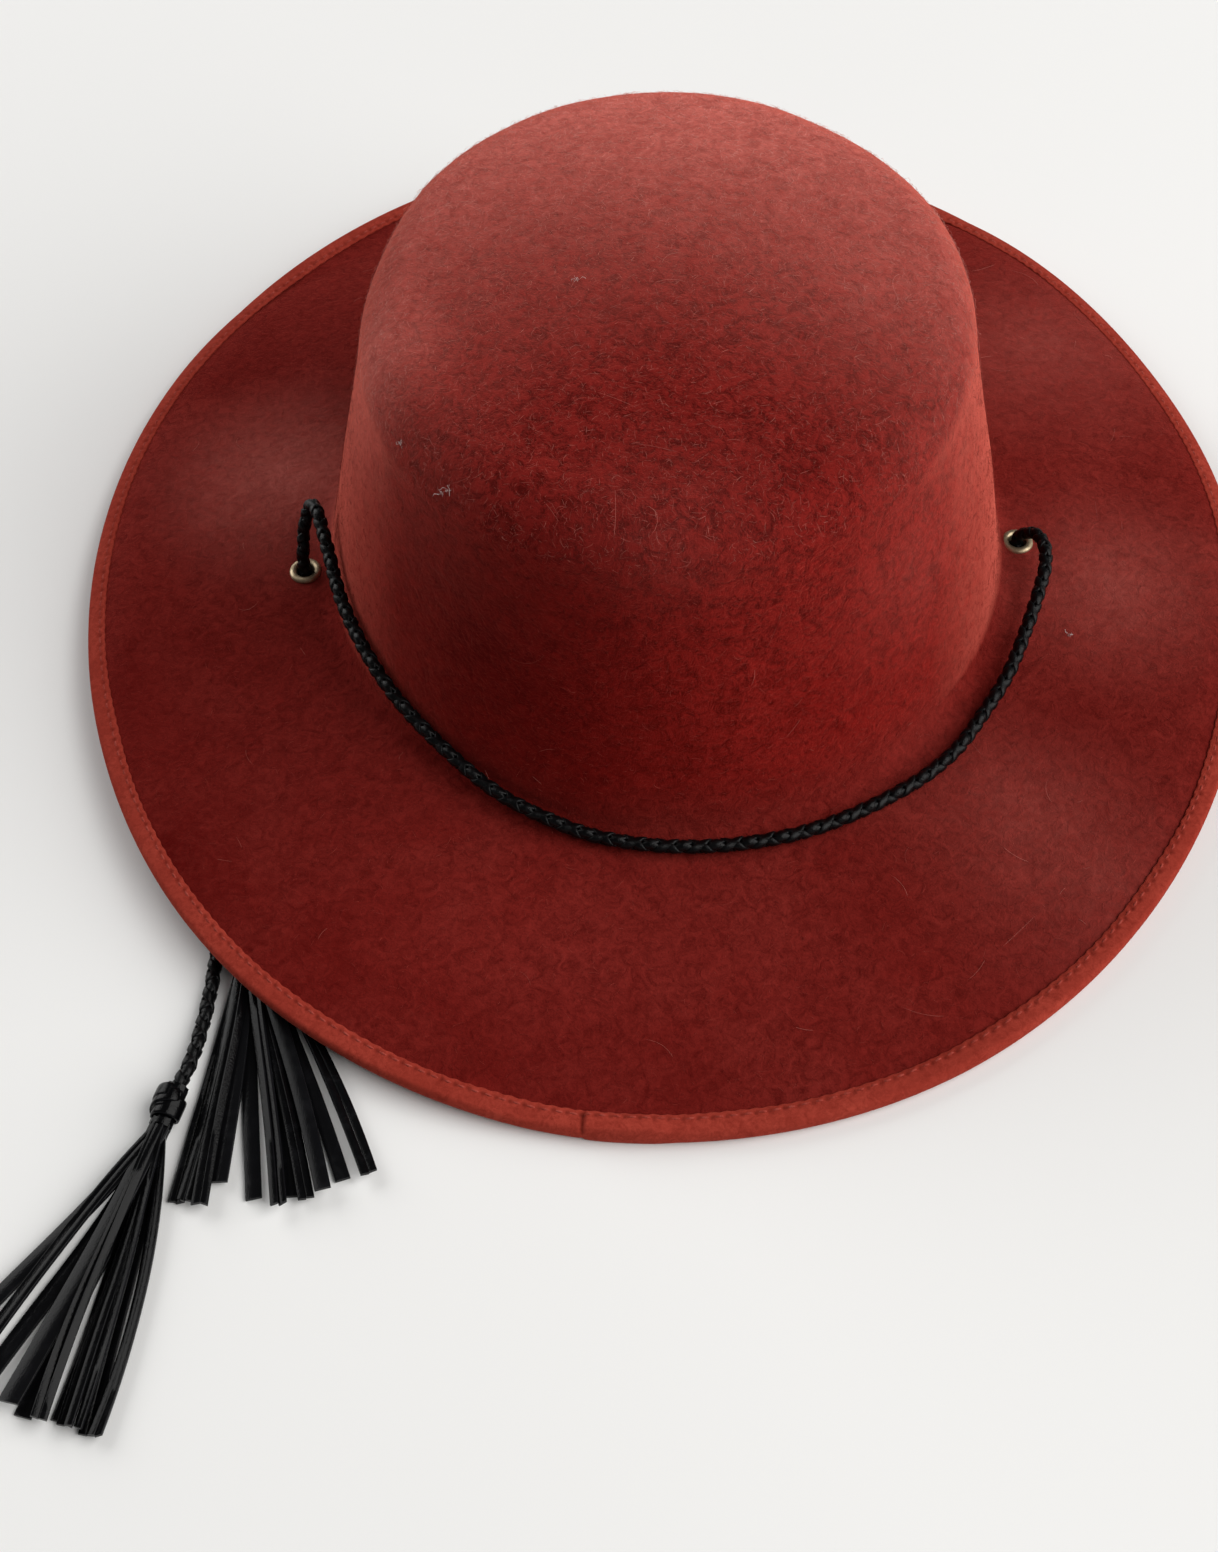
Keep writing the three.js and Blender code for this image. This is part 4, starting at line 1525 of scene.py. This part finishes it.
@dataclass
class Eyelet:
    """Flanged brass eyelet in the brim."""

    side: str
    angle: float
    share: float
    hole_radius: float = 0.0023
    barrel_radius: float = 0.00275
    flange_radius: float = 0.0042
    crest: float = 0.0009
    lip: float = 0.0002
    under_flange: float = 0.0005
    clearance: float = 0.0003
    seat_gap: float = 0.00002
    under_gap: float = 0.0001
    punch_times: float = 4
    weld_span: float = 1e-6
    sharp_angle: float = 50
    steps: int = 56
    crest_steps: int = 9

    def punch(self, felt: FeltBody) -> Object:
        """Round cutter for the felt's hole."""
        shape = bmesh.new()
        radius = self.barrel_radius + self.clearance / 2
        bmesh.ops.create_cone(shape, cap_ends=True, segments=self.steps, radius1=radius, radius2=radius,
                              depth=self.punch_times * felt.thickness,
                              matrix=felt.seat(self.angle, self.share))
        punch = bpy.data.objects.new("punch", mesh_from(shape, "punch"))
        bpy.context.scene.collection.objects.link(punch)
        return punch

    def profile(self, felt: FeltBody) -> list[tuple[float, float]]:
        """Closed section as radius and height above the felt."""
        middle = (self.hole_radius + self.flange_radius) / 2
        half = (self.flange_radius - self.hole_radius) / 2
        crest = [(middle - half * math.cos(turn), self.lip + (self.crest - self.lip) * math.sin(turn))
                 for turn in np.linspace(0, math.pi, self.crest_steps)]
        under = -felt.thickness - self.under_gap
        return crest + [
            (self.flange_radius, self.seat_gap),
            (self.barrel_radius, self.seat_gap),
            (self.barrel_radius, under),
            (self.flange_radius, under),
            (self.flange_radius - self.lip, under - self.under_flange),
            (self.hole_radius + self.lip, under - self.under_flange),
            (self.hole_radius, under),
        ]

    def build(self, felt: FeltBody) -> Object:
        """Spin the eyelet and set it into the brim."""
        shape = bmesh.new()
        ring = [shape.verts.new((radius, 0, height)) for radius, height in self.profile(felt)]
        edges = [shape.edges.new(pair) for pair in zip(ring, ring[1:] + ring[:1])]
        bmesh.ops.spin(shape, geom=ring + edges, cent=(0, 0, 0), axis=UP, angle=math.tau,
                       steps=self.steps, use_merge=True)
        bmesh.ops.remove_doubles(shape, verts=shape.verts, dist=self.weld_span)
        bmesh.ops.recalc_face_normals(shape, faces=shape.faces)
        bmesh.ops.transform(shape, matrix=felt.seat(self.angle, self.share), verts=shape.verts)
        name = f"eyelet_{self.side}"
        mesh = mesh_from(shape, f"{name}_brass")
        piece = add_object(f"{name}_brass", mesh, felt.palette.brass)
        mesh.set_sharp_from_angle(angle=math.radians(self.sharp_angle))
        return register(piece, Slot.BRASS, name)


# The cord.


class FarEnd(Enum):
    """What a stretch of cord ends in."""

    OBJECT = "object"
    KNOT = "knot"


LOOP_ROUTE: tuple[Point, ...] = (
    (-0.0944, -0.0137, 0.0124),
    (-0.0943, -0.013, 0.0186),
    (-0.0934, -0.0104, 0.0256),
    (-0.092, -0.0084, 0.0306),
    (-0.0902, -0.0093, 0.034),
    (-0.0884, -0.0134, 0.035),
    (-0.0869, -0.0186, 0.0343),
    (-0.0851, -0.0249, 0.0329),
    (-0.081, -0.0394, 0.0304),
    (-0.0737, -0.0553, 0.0278),
    (-0.0657, -0.0677, 0.0252),
    (-0.0533, -0.0812, 0.0216),
    (-0.0415, -0.091, 0.0184),
    (-0.0294, -0.0972, 0.016),
    (-0.0174, -0.1016, 0.0145),
    (0.0041, -0.1043, 0.0137),
    (0.0304, -0.1007, 0.0136),
    (0.0555, -0.0886, 0.0136),
    (0.0689, -0.0777, 0.0139),
    (0.0777, -0.0658, 0.0147),
    (0.085, -0.0543, 0.0162),
    (0.0904, -0.0424, 0.0184),
    (0.0948, -0.0312, 0.0205),
    (0.0976, -0.0218, 0.0217),
    (0.0976, -0.0138, 0.0213),
    (0.0949, -0.0084, 0.0184),
    (0.093, -0.0072, 0.0146),
    (0.093, -0.0072, 0.0116),
)
LEFT_END_ROUTE: tuple[Point, ...] = (
    (-0.0944, -0.0137, 0.0121),
    (-0.0944, -0.0141, 0.0092),
    (-0.0945, -0.0166, 0.0052),
    (-0.0949, -0.0218, 0.0024),
    (-0.0956, -0.0292, 0.0019),
    (-0.098, -0.0472, 0.0019),
    (-0.0996, -0.0582, 0.0019),
    (-0.1012, -0.0692, 0.0019),
    (-0.1042, -0.0892, 0.0019),
    (-0.1068, -0.1072, 0.0019),
    (-0.1078, -0.1212, 0.002),
    (-0.1082, -0.1342, 0.0021),
    (-0.1093, -0.1462, 0.0024),
    (-0.1106, -0.1548, 0.0032),
    (-0.1124, -0.1609, 0.00375),
)
RIGHT_END_ROUTE: tuple[Point, ...] = (
    (0.093, -0.0072, 0.0113),
    (0.0931, -0.0078, 0.0084),
    (0.0936, -0.0106, 0.0047),
    (0.0944, -0.0158, 0.0023),
    (0.0948, -0.0232, 0.0019),
    (0.0926, -0.0452, 0.0019),
    (0.084, -0.0692, 0.0019),
    (0.07, -0.0892, 0.0019),
    (0.05, -0.1072, 0.0019),
    (0.026, -0.1182, 0.0019),
    (0.002, -0.1222, 0.0019),
    (-0.024, -0.1192, 0.0019),
    (-0.048, -0.1102, 0.0019),
    (-0.068, -0.0992, 0.0019),
    (-0.083, -0.0934, 0.0019),
    (-0.0944, -0.0938, 0.0022),
    (-0.1, -0.0986, 0.0028),
    (-0.1014, -0.1042, 0.0035),
    (-0.1011, -0.1092, 0.00375),
)


SPAN_SAMPLES = 60
KNOT_POWER = 0.5


def smooth_line(route: Iterable[Point], step: float) -> np.ndarray:
    """Even points on a smooth curve through a route.

    Args:
        route: Points given.
        step: Distance between the even points.

    Returns:
        The points as rows.
    """
    points = np.array(list(route))
    spans = np.linalg.norm(np.diff(points, axis=0), axis=1) ** KNOT_POWER
    knots = np.concatenate([[0], np.cumsum(spans)])
    slopes = np.gradient(points, knots, axis=0)
    share = np.linspace(0, 1, SPAN_SAMPLES, endpoint=False)[:, None]
    ends, bends = zip(points, points[1:]), zip(slopes, slopes[1:])
    fine = [between(share, *pairs) for pairs in zip(ends, bends, spans)]
    fine = np.concatenate([*fine, points[-1:]])
    arc = np.concatenate([[0], np.cumsum(np.linalg.norm(np.diff(fine, axis=0), axis=1))])
    even = np.linspace(0, arc[-1], max(2, round(arc[-1] / step) + 1))
    return np.column_stack([np.interp(even, arc, fine[:, axis]) for axis in range(3)])


def carried_frames(line: np.ndarray) -> tuple[np.ndarray, np.ndarray, np.ndarray]:
    """Frames carried along a line without twisting.

    Args:
        line: Points of the line.

    Returns:
        Unit vectors along, across and up at each point.
    """
    along = unit_rows(np.gradient(line, axis=0))
    across = np.zeros_like(along)
    first = Vector(along[0]).orthogonal().normalized()
    for index, way in enumerate(along):
        if index:
            first.rotate(Vector(along[index - 1]).rotation_difference(Vector(way)))
        across[index] = first
    return along, across, np.cross(along, across)


@dataclass
class BraidedCord:
    """One stretch of round braided cord."""

    name: str
    node: str
    route: tuple[Point, ...]
    far_end: FarEnd
    diameter: float = 0.0035
    laces: int = 4
    turn_length: float = 0.0078
    lace_width: float = 0.0022
    lace_thickness: float = 0.001
    lace_squareness: float = 0.7
    core_share: float = 0.6
    weave_depth: float = 0.0003
    step: float = 0.00055
    sides: int = 8

    def build(self, material: Material) -> Object:
        """Braid the laces round the route.

        Args:
            material: The cord's leather.

        Returns:
            The piece.
        """
        line = smooth_line(self.route, self.step)
        along, across, up = carried_frames(line)
        way = np.arange(len(line)) * self.step
        section = rounded_section(self.lace_width, self.lace_thickness, self.sides, self.lace_squareness)
        arrays = MeshArrays()
        for lace in range(self.laces):
            hand = 1 if lace % 2 == 0 else -1
            start = math.tau * (lace // 2) / (self.laces / 2)
            turn = hand * math.tau * way / self.turn_length + start
            crossing = way / self.turn_length * self.laces / 2 * math.tau + start * self.laces / 4
            radius = self.diameter / 2 * self.core_share + hand * self.weave_depth * np.cos(crossing)
            outward = across * np.cos(turn)[:, None] + up * np.sin(turn)[:, None]
            centres = line + outward * radius[:, None]
            tangent = unit_rows(np.gradient(centres, axis=0))
            side = unit_rows(np.cross(outward, tangent))
            arrays.sweep(centres, side, np.cross(tangent, side), section)
        piece = add_object(self.name, arrays.mesh(self.name, EDGE), material)
        register(piece, Slot.CORD, self.node)
        length = float(np.linalg.norm(np.diff(line, axis=0), axis=1).sum())
        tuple(self.route[0])
        LOG.info("%s: %.0f mm of cord", self.name, length * MILLIMETRES)
        return piece


# The tassels.


@dataclass(frozen=True)
class Strip:
    """Flat leather strip: heading from -Y towards -X, sizes, bow, layer, roll and slit parts."""

    heading: float
    length: float
    width: float
    bow: float
    layer: int
    roll: float
    split: int = 1


LEFT_STRIPS = (
    Strip(37, 0.072, 0.0036, 0, 1, 4),
    Strip(31, 0.071, 0.0034, -0.0015, 2, -12, 2),
    Strip(28, 0.072, 0.0038, 0.001, 0, 0),
    Strip(20.5, 0.067, 0.0046, 0.0005, 2, 6),
    Strip(18, 0.068, 0.0038, 0, 0, 0),
    Strip(14, 0.0685, 0.0036, -0.001, 3, -24, 2),
    Strip(11.5, 0.067, 0.0036, 0, 0, 4, 2),
    Strip(10, 0.068, 0.0034, 0.0005, 1, -6, 2),
    Strip(8, 0.0685, 0.0036, 0.0008, 2, 10, 2),
    Strip(6, 0.069, 0.0036, 0.0006, 0, 0, 2),
    Strip(4.2, 0.0695, 0.0029, 0.003, 1, 14, 2),
)
RIGHT_STRIPS = (
    Strip(8.4, 0.069, 0.0036, 0, 0, 0, 2),
    Strip(6.6, 0.069, 0.0036, 0.0006, 1, 8, 2),
    Strip(3.6, 0.070, 0.0038, 0.0004, 2, -10, 2),
    Strip(0.8, 0.064, 0.0036, 0.0008, 1, 5),
    Strip(-5.8, 0.068, 0.0036, -0.0008, 0, 0),
    Strip(-10.4, 0.0715, 0.0036, 0, 2, 9, 2),
    Strip(-13, 0.069, 0.0034, 0.0005, 0, 0),
    Strip(-15.2, 0.071, 0.0036, 0, 1, -6, 2),
    Strip(-18.4, 0.0705, 0.0036, 0.001, 2, 8),
    Strip(-22.4, 0.0685, 0.0034, 0.0006, 0, 0),
    Strip(-27, 0.0705, 0.0038, 0.0022, 1, -8, 2),
)


@dataclass(frozen=True)
class ThongTurn:
    """Stretch of the wound thong: turns, shares of the wrap's length, how high it rides, its start."""

    turns: float
    start: float
    end: float
    rise: float
    climb: float
    phase: float


@dataclass
class Tassel:
    """Flat strips bound into a head by a wound thong, at the end of a cord."""

    side: str
    x: float
    y: float
    heading: float
    strips: tuple[Strip, ...]
    seed: int
    head_radius: float = 0.0026
    head_length: float = 0.0105
    head_height: float = 0.00375
    flutes: int = 22
    flute_depth: float = 0.12
    strip_thickness: float = 0.0009
    edge_round: float = 0.00016
    edge_steps: int = 2
    sharp_angle: float = 40
    layer_rise: float = 0.001
    bundle_rise: float = 0.00105
    bundle_middle: float = 1.5
    landing: float = 0.55
    floor_gap: float = 0.00015
    root_inset: float = 0.0009
    slit_tilt: float = 16
    tip_roll: float = 0.4
    cup: float = 0.00018
    most_lift: float = 0.0006
    most_flick: float = 0.0012
    most_wave: float = 0.0005
    most_slant: float = 0.0003
    cuts: int = 30
    wrap_length: float = 0.0084
    wrap_radius: float = 0.003
    thong_width: float = 0.0034
    thong_thickness: float = 0.0008
    thong_sides: int = 10
    thong_squareness: float = 0.55
    turn_samples: int = 44
    least_samples: int = 16
    tuck_depth: float = 0.16
    tuck_span: float = 0.07
    thong_turns: tuple[ThongTurn, ...] = (
        ThongTurn(turns=2.4, start=0.08, end=0.92, rise=0.0, climb=0.0003, phase=0.6),
        ThongTurn(turns=0.55, start=0.05, end=0.9, rise=0.00055, climb=0.0, phase=0.9),
        ThongTurn(turns=0.3, start=-0.04, end=0.16, rise=0.0007, climb=0.0003, phase=1.5),
    )

    def place(self) -> Matrix:
        """Frame with its X axis along the tassel and its origin under the head's lower end."""
        turn = Matrix.Rotation(math.radians(-FULL_TURN / 4 - self.heading), 4, "Z")
        return Matrix.Translation((self.x, self.y, 0)) @ turn

    def strip_bar(self, strip: Strip) -> BMesh:
        """A straight strip with rounded edges, whose X runs from 0 to 1."""
        bar = bmesh.new()
        bmesh.ops.create_cube(bar, size=1)
        bmesh.ops.translate(bar, vec=(MIDDLE, 0, 0), verts=bar.verts)
        bmesh.ops.scale(bar, vec=(1, strip.width / strip.split, self.strip_thickness), verts=bar.verts)
        bmesh.ops.bevel(bar, geom=self.long_edges(bar), offset=self.edge_round, segments=self.edge_steps,
                        profile=MIDDLE, affect="EDGES", material=-1)
        bmesh.ops.subdivide_edges(bar, edges=self.long_edges(bar), cuts=self.cuts, use_grid_fill=True)
        return bar

    @staticmethod
    def long_edges(bar: BMesh) -> list[bmesh.types.BMEdge]:
        """Edges that run the whole way along a strip."""
        return [edge for edge in bar.edges if abs(edge.verts[0].co.x - edge.verts[1].co.x) > MIDDLE]

    def bend(self, bar: BMesh, strip: Strip, part: int, random: np.random.Generator) -> None:
        """Lay a straight strip along its own line, turned and lifted a little.

        Args:
            bar: The strip of strip_bar().
            strip: Its row in the table.
            part: Number of this strip where the row is slit into several.
            random: Source of the small differences.
        """
        turn = math.radians(self.heading - strip.heading)
        forward = Vector((math.cos(turn), math.sin(turn), 0))
        sideways = Vector((-forward.y, forward.x, 0))
        bundle = self.head_height + (strip.layer - self.bundle_middle) * self.bundle_rise
        rest = self.floor_gap + self.strip_thickness / 2 + strip.layer * self.layer_rise
        lift = random.uniform(0.0, self.most_lift) * (strip.layer > 0)
        flick = random.uniform(0.0, self.most_flick) * (strip.layer > 0)
        wave = random.uniform(-self.most_wave, self.most_wave)
        slant = random.uniform(-self.most_slant, self.most_slant)
        edge = bar.verts.layers.float.new(EDGE)
        half = strip.width / strip.split / 2
        aside = (2 * part + 1 - strip.split) * half
        tilt = strip.roll + random.uniform(-self.slit_tilt, self.slit_tilt) * (strip.split - 1)
        for vert in bar.verts:
            share, across, up = vert.co
            vert[edge] = abs(across) / half
            roll = math.radians(tilt) * (math.sin(math.pi * share) + self.tip_roll * share)
            reach = -self.root_inset + (strip.length + self.root_inset) * share
            reach += slant * across / half * share
            drift = strip.bow * 4 * share * (1 - share) + wave * math.sin(math.tau * share)
            drift += aside * (MIDDLE + MIDDLE * share)
            height = bundle + (rest - bundle) * smoothstep(share, 0, self.landing)
            height += (lift * math.sin(math.pi * share) ** 2 + flick * share ** 4
                       + abs(math.sin(roll)) * half)
            cup = self.cup * (1 - (across / half) ** 2)
            point = forward * reach + sideways * (drift + across * math.cos(roll) - up * math.sin(roll))
            point.z = max(height + across * math.sin(roll) + up * math.cos(roll) + cup, self.floor_gap)
            vert.co = point

    def build(self, material: Material) -> tuple[Object, Object]:
        """Make the strips with their head, and the thong round it.

        Args:
            material: The leather.

        Returns:
            The tassel and its wrap.
        """
        random = np.random.default_rng(self.seed)
        whole = bmesh.new()
        whole.verts.layers.float.new(EDGE)
        for strip in self.strips:
            for part in range(strip.split):
                bar = self.strip_bar(strip)
                self.bend(bar, strip, part, random)
                whole.from_mesh(mesh_from(bar, "strip"))
        self.add_head(whole)
        bmesh.ops.recalc_face_normals(whole, faces=whole.faces)
        bmesh.ops.transform(whole, matrix=self.place(), verts=whole.verts)
        name = f"tassel_{self.side}"
        mesh = mesh_from(whole, f"{name}_strips")
        piece = add_object(f"{name}_strips", mesh, material)
        mesh.set_sharp_from_angle(angle=math.radians(self.sharp_angle))
        register(piece, Slot.TASSEL, name)
        return piece, self.build_wrap(material)

    def add_head(self, whole: BMesh) -> None:
        """Add the bundled head, fluted by the strips in it."""
        turn = Matrix.Rotation(math.pi / 2, 4, "Y")
        centre = Matrix.Translation((-self.head_length / 2, 0, self.head_height))
        made = bmesh.ops.create_cone(whole, cap_ends=True, segments=self.flutes, radius1=self.head_radius,
                                     radius2=self.head_radius, depth=self.head_length, matrix=centre @ turn)
        axis = Vector((0, 0, self.head_height))
        for number, vert in enumerate(made["verts"]):
            spoke = vert.co - axis
            spoke.x = 0
            vert.co -= spoke * (self.flute_depth if number // 2 % 2 else 0)

    def build_wrap(self, material: Material) -> Object:
        """Wind the thong round the head, with one crossing turn and its folded end over the others."""
        arrays = MeshArrays()
        section = rounded_section(self.thong_width, self.thong_thickness, self.thong_sides,
                                  self.thong_squareness)
        start = -(self.head_length + self.wrap_length) / 2 + self.thong_width / 2
        room = self.wrap_length - self.thong_width
        for part in self.thong_turns:
            share = np.linspace(0, 1, max(self.least_samples, round(part.turns * self.turn_samples)))
            turn = part.phase + math.tau * part.turns * share
            ends = np.exp(-(share / self.tuck_span) ** 2) + np.exp(-((1 - share) / self.tuck_span) ** 2)
            climb = part.climb * np.sin(math.tau * part.turns * share / 2) ** 2
            radius = (self.wrap_radius + part.rise + climb) * (1 - self.tuck_depth * ends)
            out = np.column_stack([np.zeros_like(turn), np.cos(turn), np.sin(turn)])
            centres = out * radius[:, None]
            centres[:, 0] = start + room * (part.start + (part.end - part.start) * share)
            centres[:, 2] += self.head_height
            along = unit_rows(np.gradient(centres, axis=0))
            side = unit_rows(np.cross(out, along))
            arrays.sweep(centres, side, np.cross(along, side), section)
        name = f"tassel_wrap_{self.side}"
        mesh = arrays.mesh(f"{name}_thong", EDGE)
        mesh.transform(self.place())
        low = max(0.0, self.floor_gap - min(vert.co.z for vert in mesh.vertices))
        mesh.transform(Matrix.Translation((0, 0, low)))
        piece = add_object(f"{name}_thong", mesh, material)
        return register(piece, Slot.TASSEL, name)


# The studio.


@dataclass(frozen=True)
class PhotoCamera:
    """Camera at the photograph's viewing angle."""

    target: Point = (-0.01485, -0.08768, 0.020)
    distance: float = 0.51554
    azimuth: float = 1.09
    elevation: float = 52.59
    roll: float = -1.78
    focal_pixels: float = 2155.6
    sensor: float = 36
    nearest: float = 0.01

    def build(self) -> Object:
        """Add the camera and make it the scene's own."""
        data = bpy.data.cameras.new("photo_camera")
        data.sensor_width = self.sensor
        data.lens = self.focal_pixels * self.sensor / max(IMAGE_WIDTH, IMAGE_HEIGHT)
        data.clip_start = self.nearest
        rise, turn = math.radians(self.elevation), math.radians(self.azimuth)
        level = math.cos(rise)
        back = Vector((math.sin(turn) * level, -math.cos(turn) * level, math.sin(rise)))
        look = back.to_track_quat("Z", "Y") @ Quaternion((0, 0, 1), math.radians(self.roll))
        camera = bpy.data.objects.new("photo_camera", data)
        place = Matrix.Translation(Vector(self.target) + back * self.distance)
        camera.matrix_world = place @ look.to_matrix().to_4x4()
        bpy.context.scene.collection.objects.link(camera)
        bpy.context.scene.camera = camera
        return camera


@dataclass(frozen=True)
class SoftLight:
    """One large soft lamp that looks at the hat."""

    name: str
    place: Point
    size: float
    power: float
    colour: Colour

    def build(self) -> Object:
        """Add the lamp."""
        data = bpy.data.lights.new(self.name, "AREA")
        data.shape = "SQUARE"
        data.size = self.size
        data.energy = self.power
        data.color = self.colour
        lamp = bpy.data.objects.new(self.name, data)
        look = Vector(self.place).to_track_quat("Z", "Y")
        lamp.matrix_world = Matrix.Translation(self.place) @ look.to_matrix().to_4x4()
        bpy.context.scene.collection.objects.link(lamp)
        return lamp


@dataclass(frozen=True)
class Studio:
    """Pale floor, soft light and camera."""

    floor_size: float = 6
    ambient: float = 0.1
    lamps: tuple[SoftLight, ...] = (
        SoftLight("window_light", (1.9, -0.55, 1.5), 3.0, 102, (1.0, 0.99, 0.97)),
        SoftLight("back_light", (-1.55, 1.15, 1.0), 1.8, 31, (1.0, 0.995, 0.985)),
    )

    def build(self) -> None:
        """Set up everything that isn't part of the hat."""
        PhotoCamera().build()
        for lamp in self.lamps:
            lamp.build()
        world = bpy.data.worlds.new("soft_studio")
        world.use_nodes = True
        sky = world.node_tree.nodes["Background"]
        Wiring(world.node_tree).fill(sky, {"Strength": self.ambient, "Color": (1, 1, 1, 1)})
        bpy.context.scene.world = world
        bpy.context.scene.view_settings.view_transform = "Standard"
        shape = bmesh.new()
        bmesh.ops.create_grid(shape, x_segments=1, y_segments=1, size=self.floor_size / 2)
        floor = add_object("floor", mesh_from(shape, "floor"), FloorFinish().material(), smooth=False)


def main() -> None:
    """Build the studio and the hat, piece by piece."""
    logging.basicConfig(level=logging.INFO, format="%(name)s %(message)s")
    Studio().build()
    palette = Palette.mixed()
    for cord in (
        BraidedCord("chin_cord_braid", "chin_cord_loop", LOOP_ROUTE, FarEnd.OBJECT),
        BraidedCord("left_end_braid", "cord_end_left", LEFT_END_ROUTE, FarEnd.KNOT),
        BraidedCord("right_end_braid", "cord_end_right", RIGHT_END_ROUTE, FarEnd.KNOT),
    ):
        cord.build(palette.cord)
    for tassel in (
        Tassel("left", -0.1154, -0.1714, 16, LEFT_STRIPS, seed=4),
        Tassel("right", -0.1003, -0.120, -4, RIGHT_STRIPS, seed=5),
    ):
        tassel.build(palette.strips)
    felt = FeltBody(palette)
    eyelets = (Eyelet("left", 185.9, 0.106), Eyelet("right", 357.8, 0.082))
    _, face = felt.build(eyelets)
    for nap in (
        Nap(Region.CROWN_TOP, 16000, 3, tone=(1.6, 3.0)),
        Nap(Region.CROWN_WALL, 14000, 5, tone=(1.3, 3.2), short=True),
        Nap(Region.BRIM, 15000, 8, radius=(0.000016, 0.000036), tone=(1.4, 3.2), short=True),
        Nap(Region.STRAY, 130, 11, length=(0.005, 0.012), radius=(0.00003, 0.00005), tone=(4, 3), points=7),
    ):
        nap.grow(face, felt)
    Lint().gather(face, palette.lint)
    bpy.data.meshes.remove(face)
    for eyelet in eyelets:
        eyelet.build(felt)
    binding = BrimBinding(felt)
    binding.build()
    binding.sew()


if __name__ == "__main__":
    main()
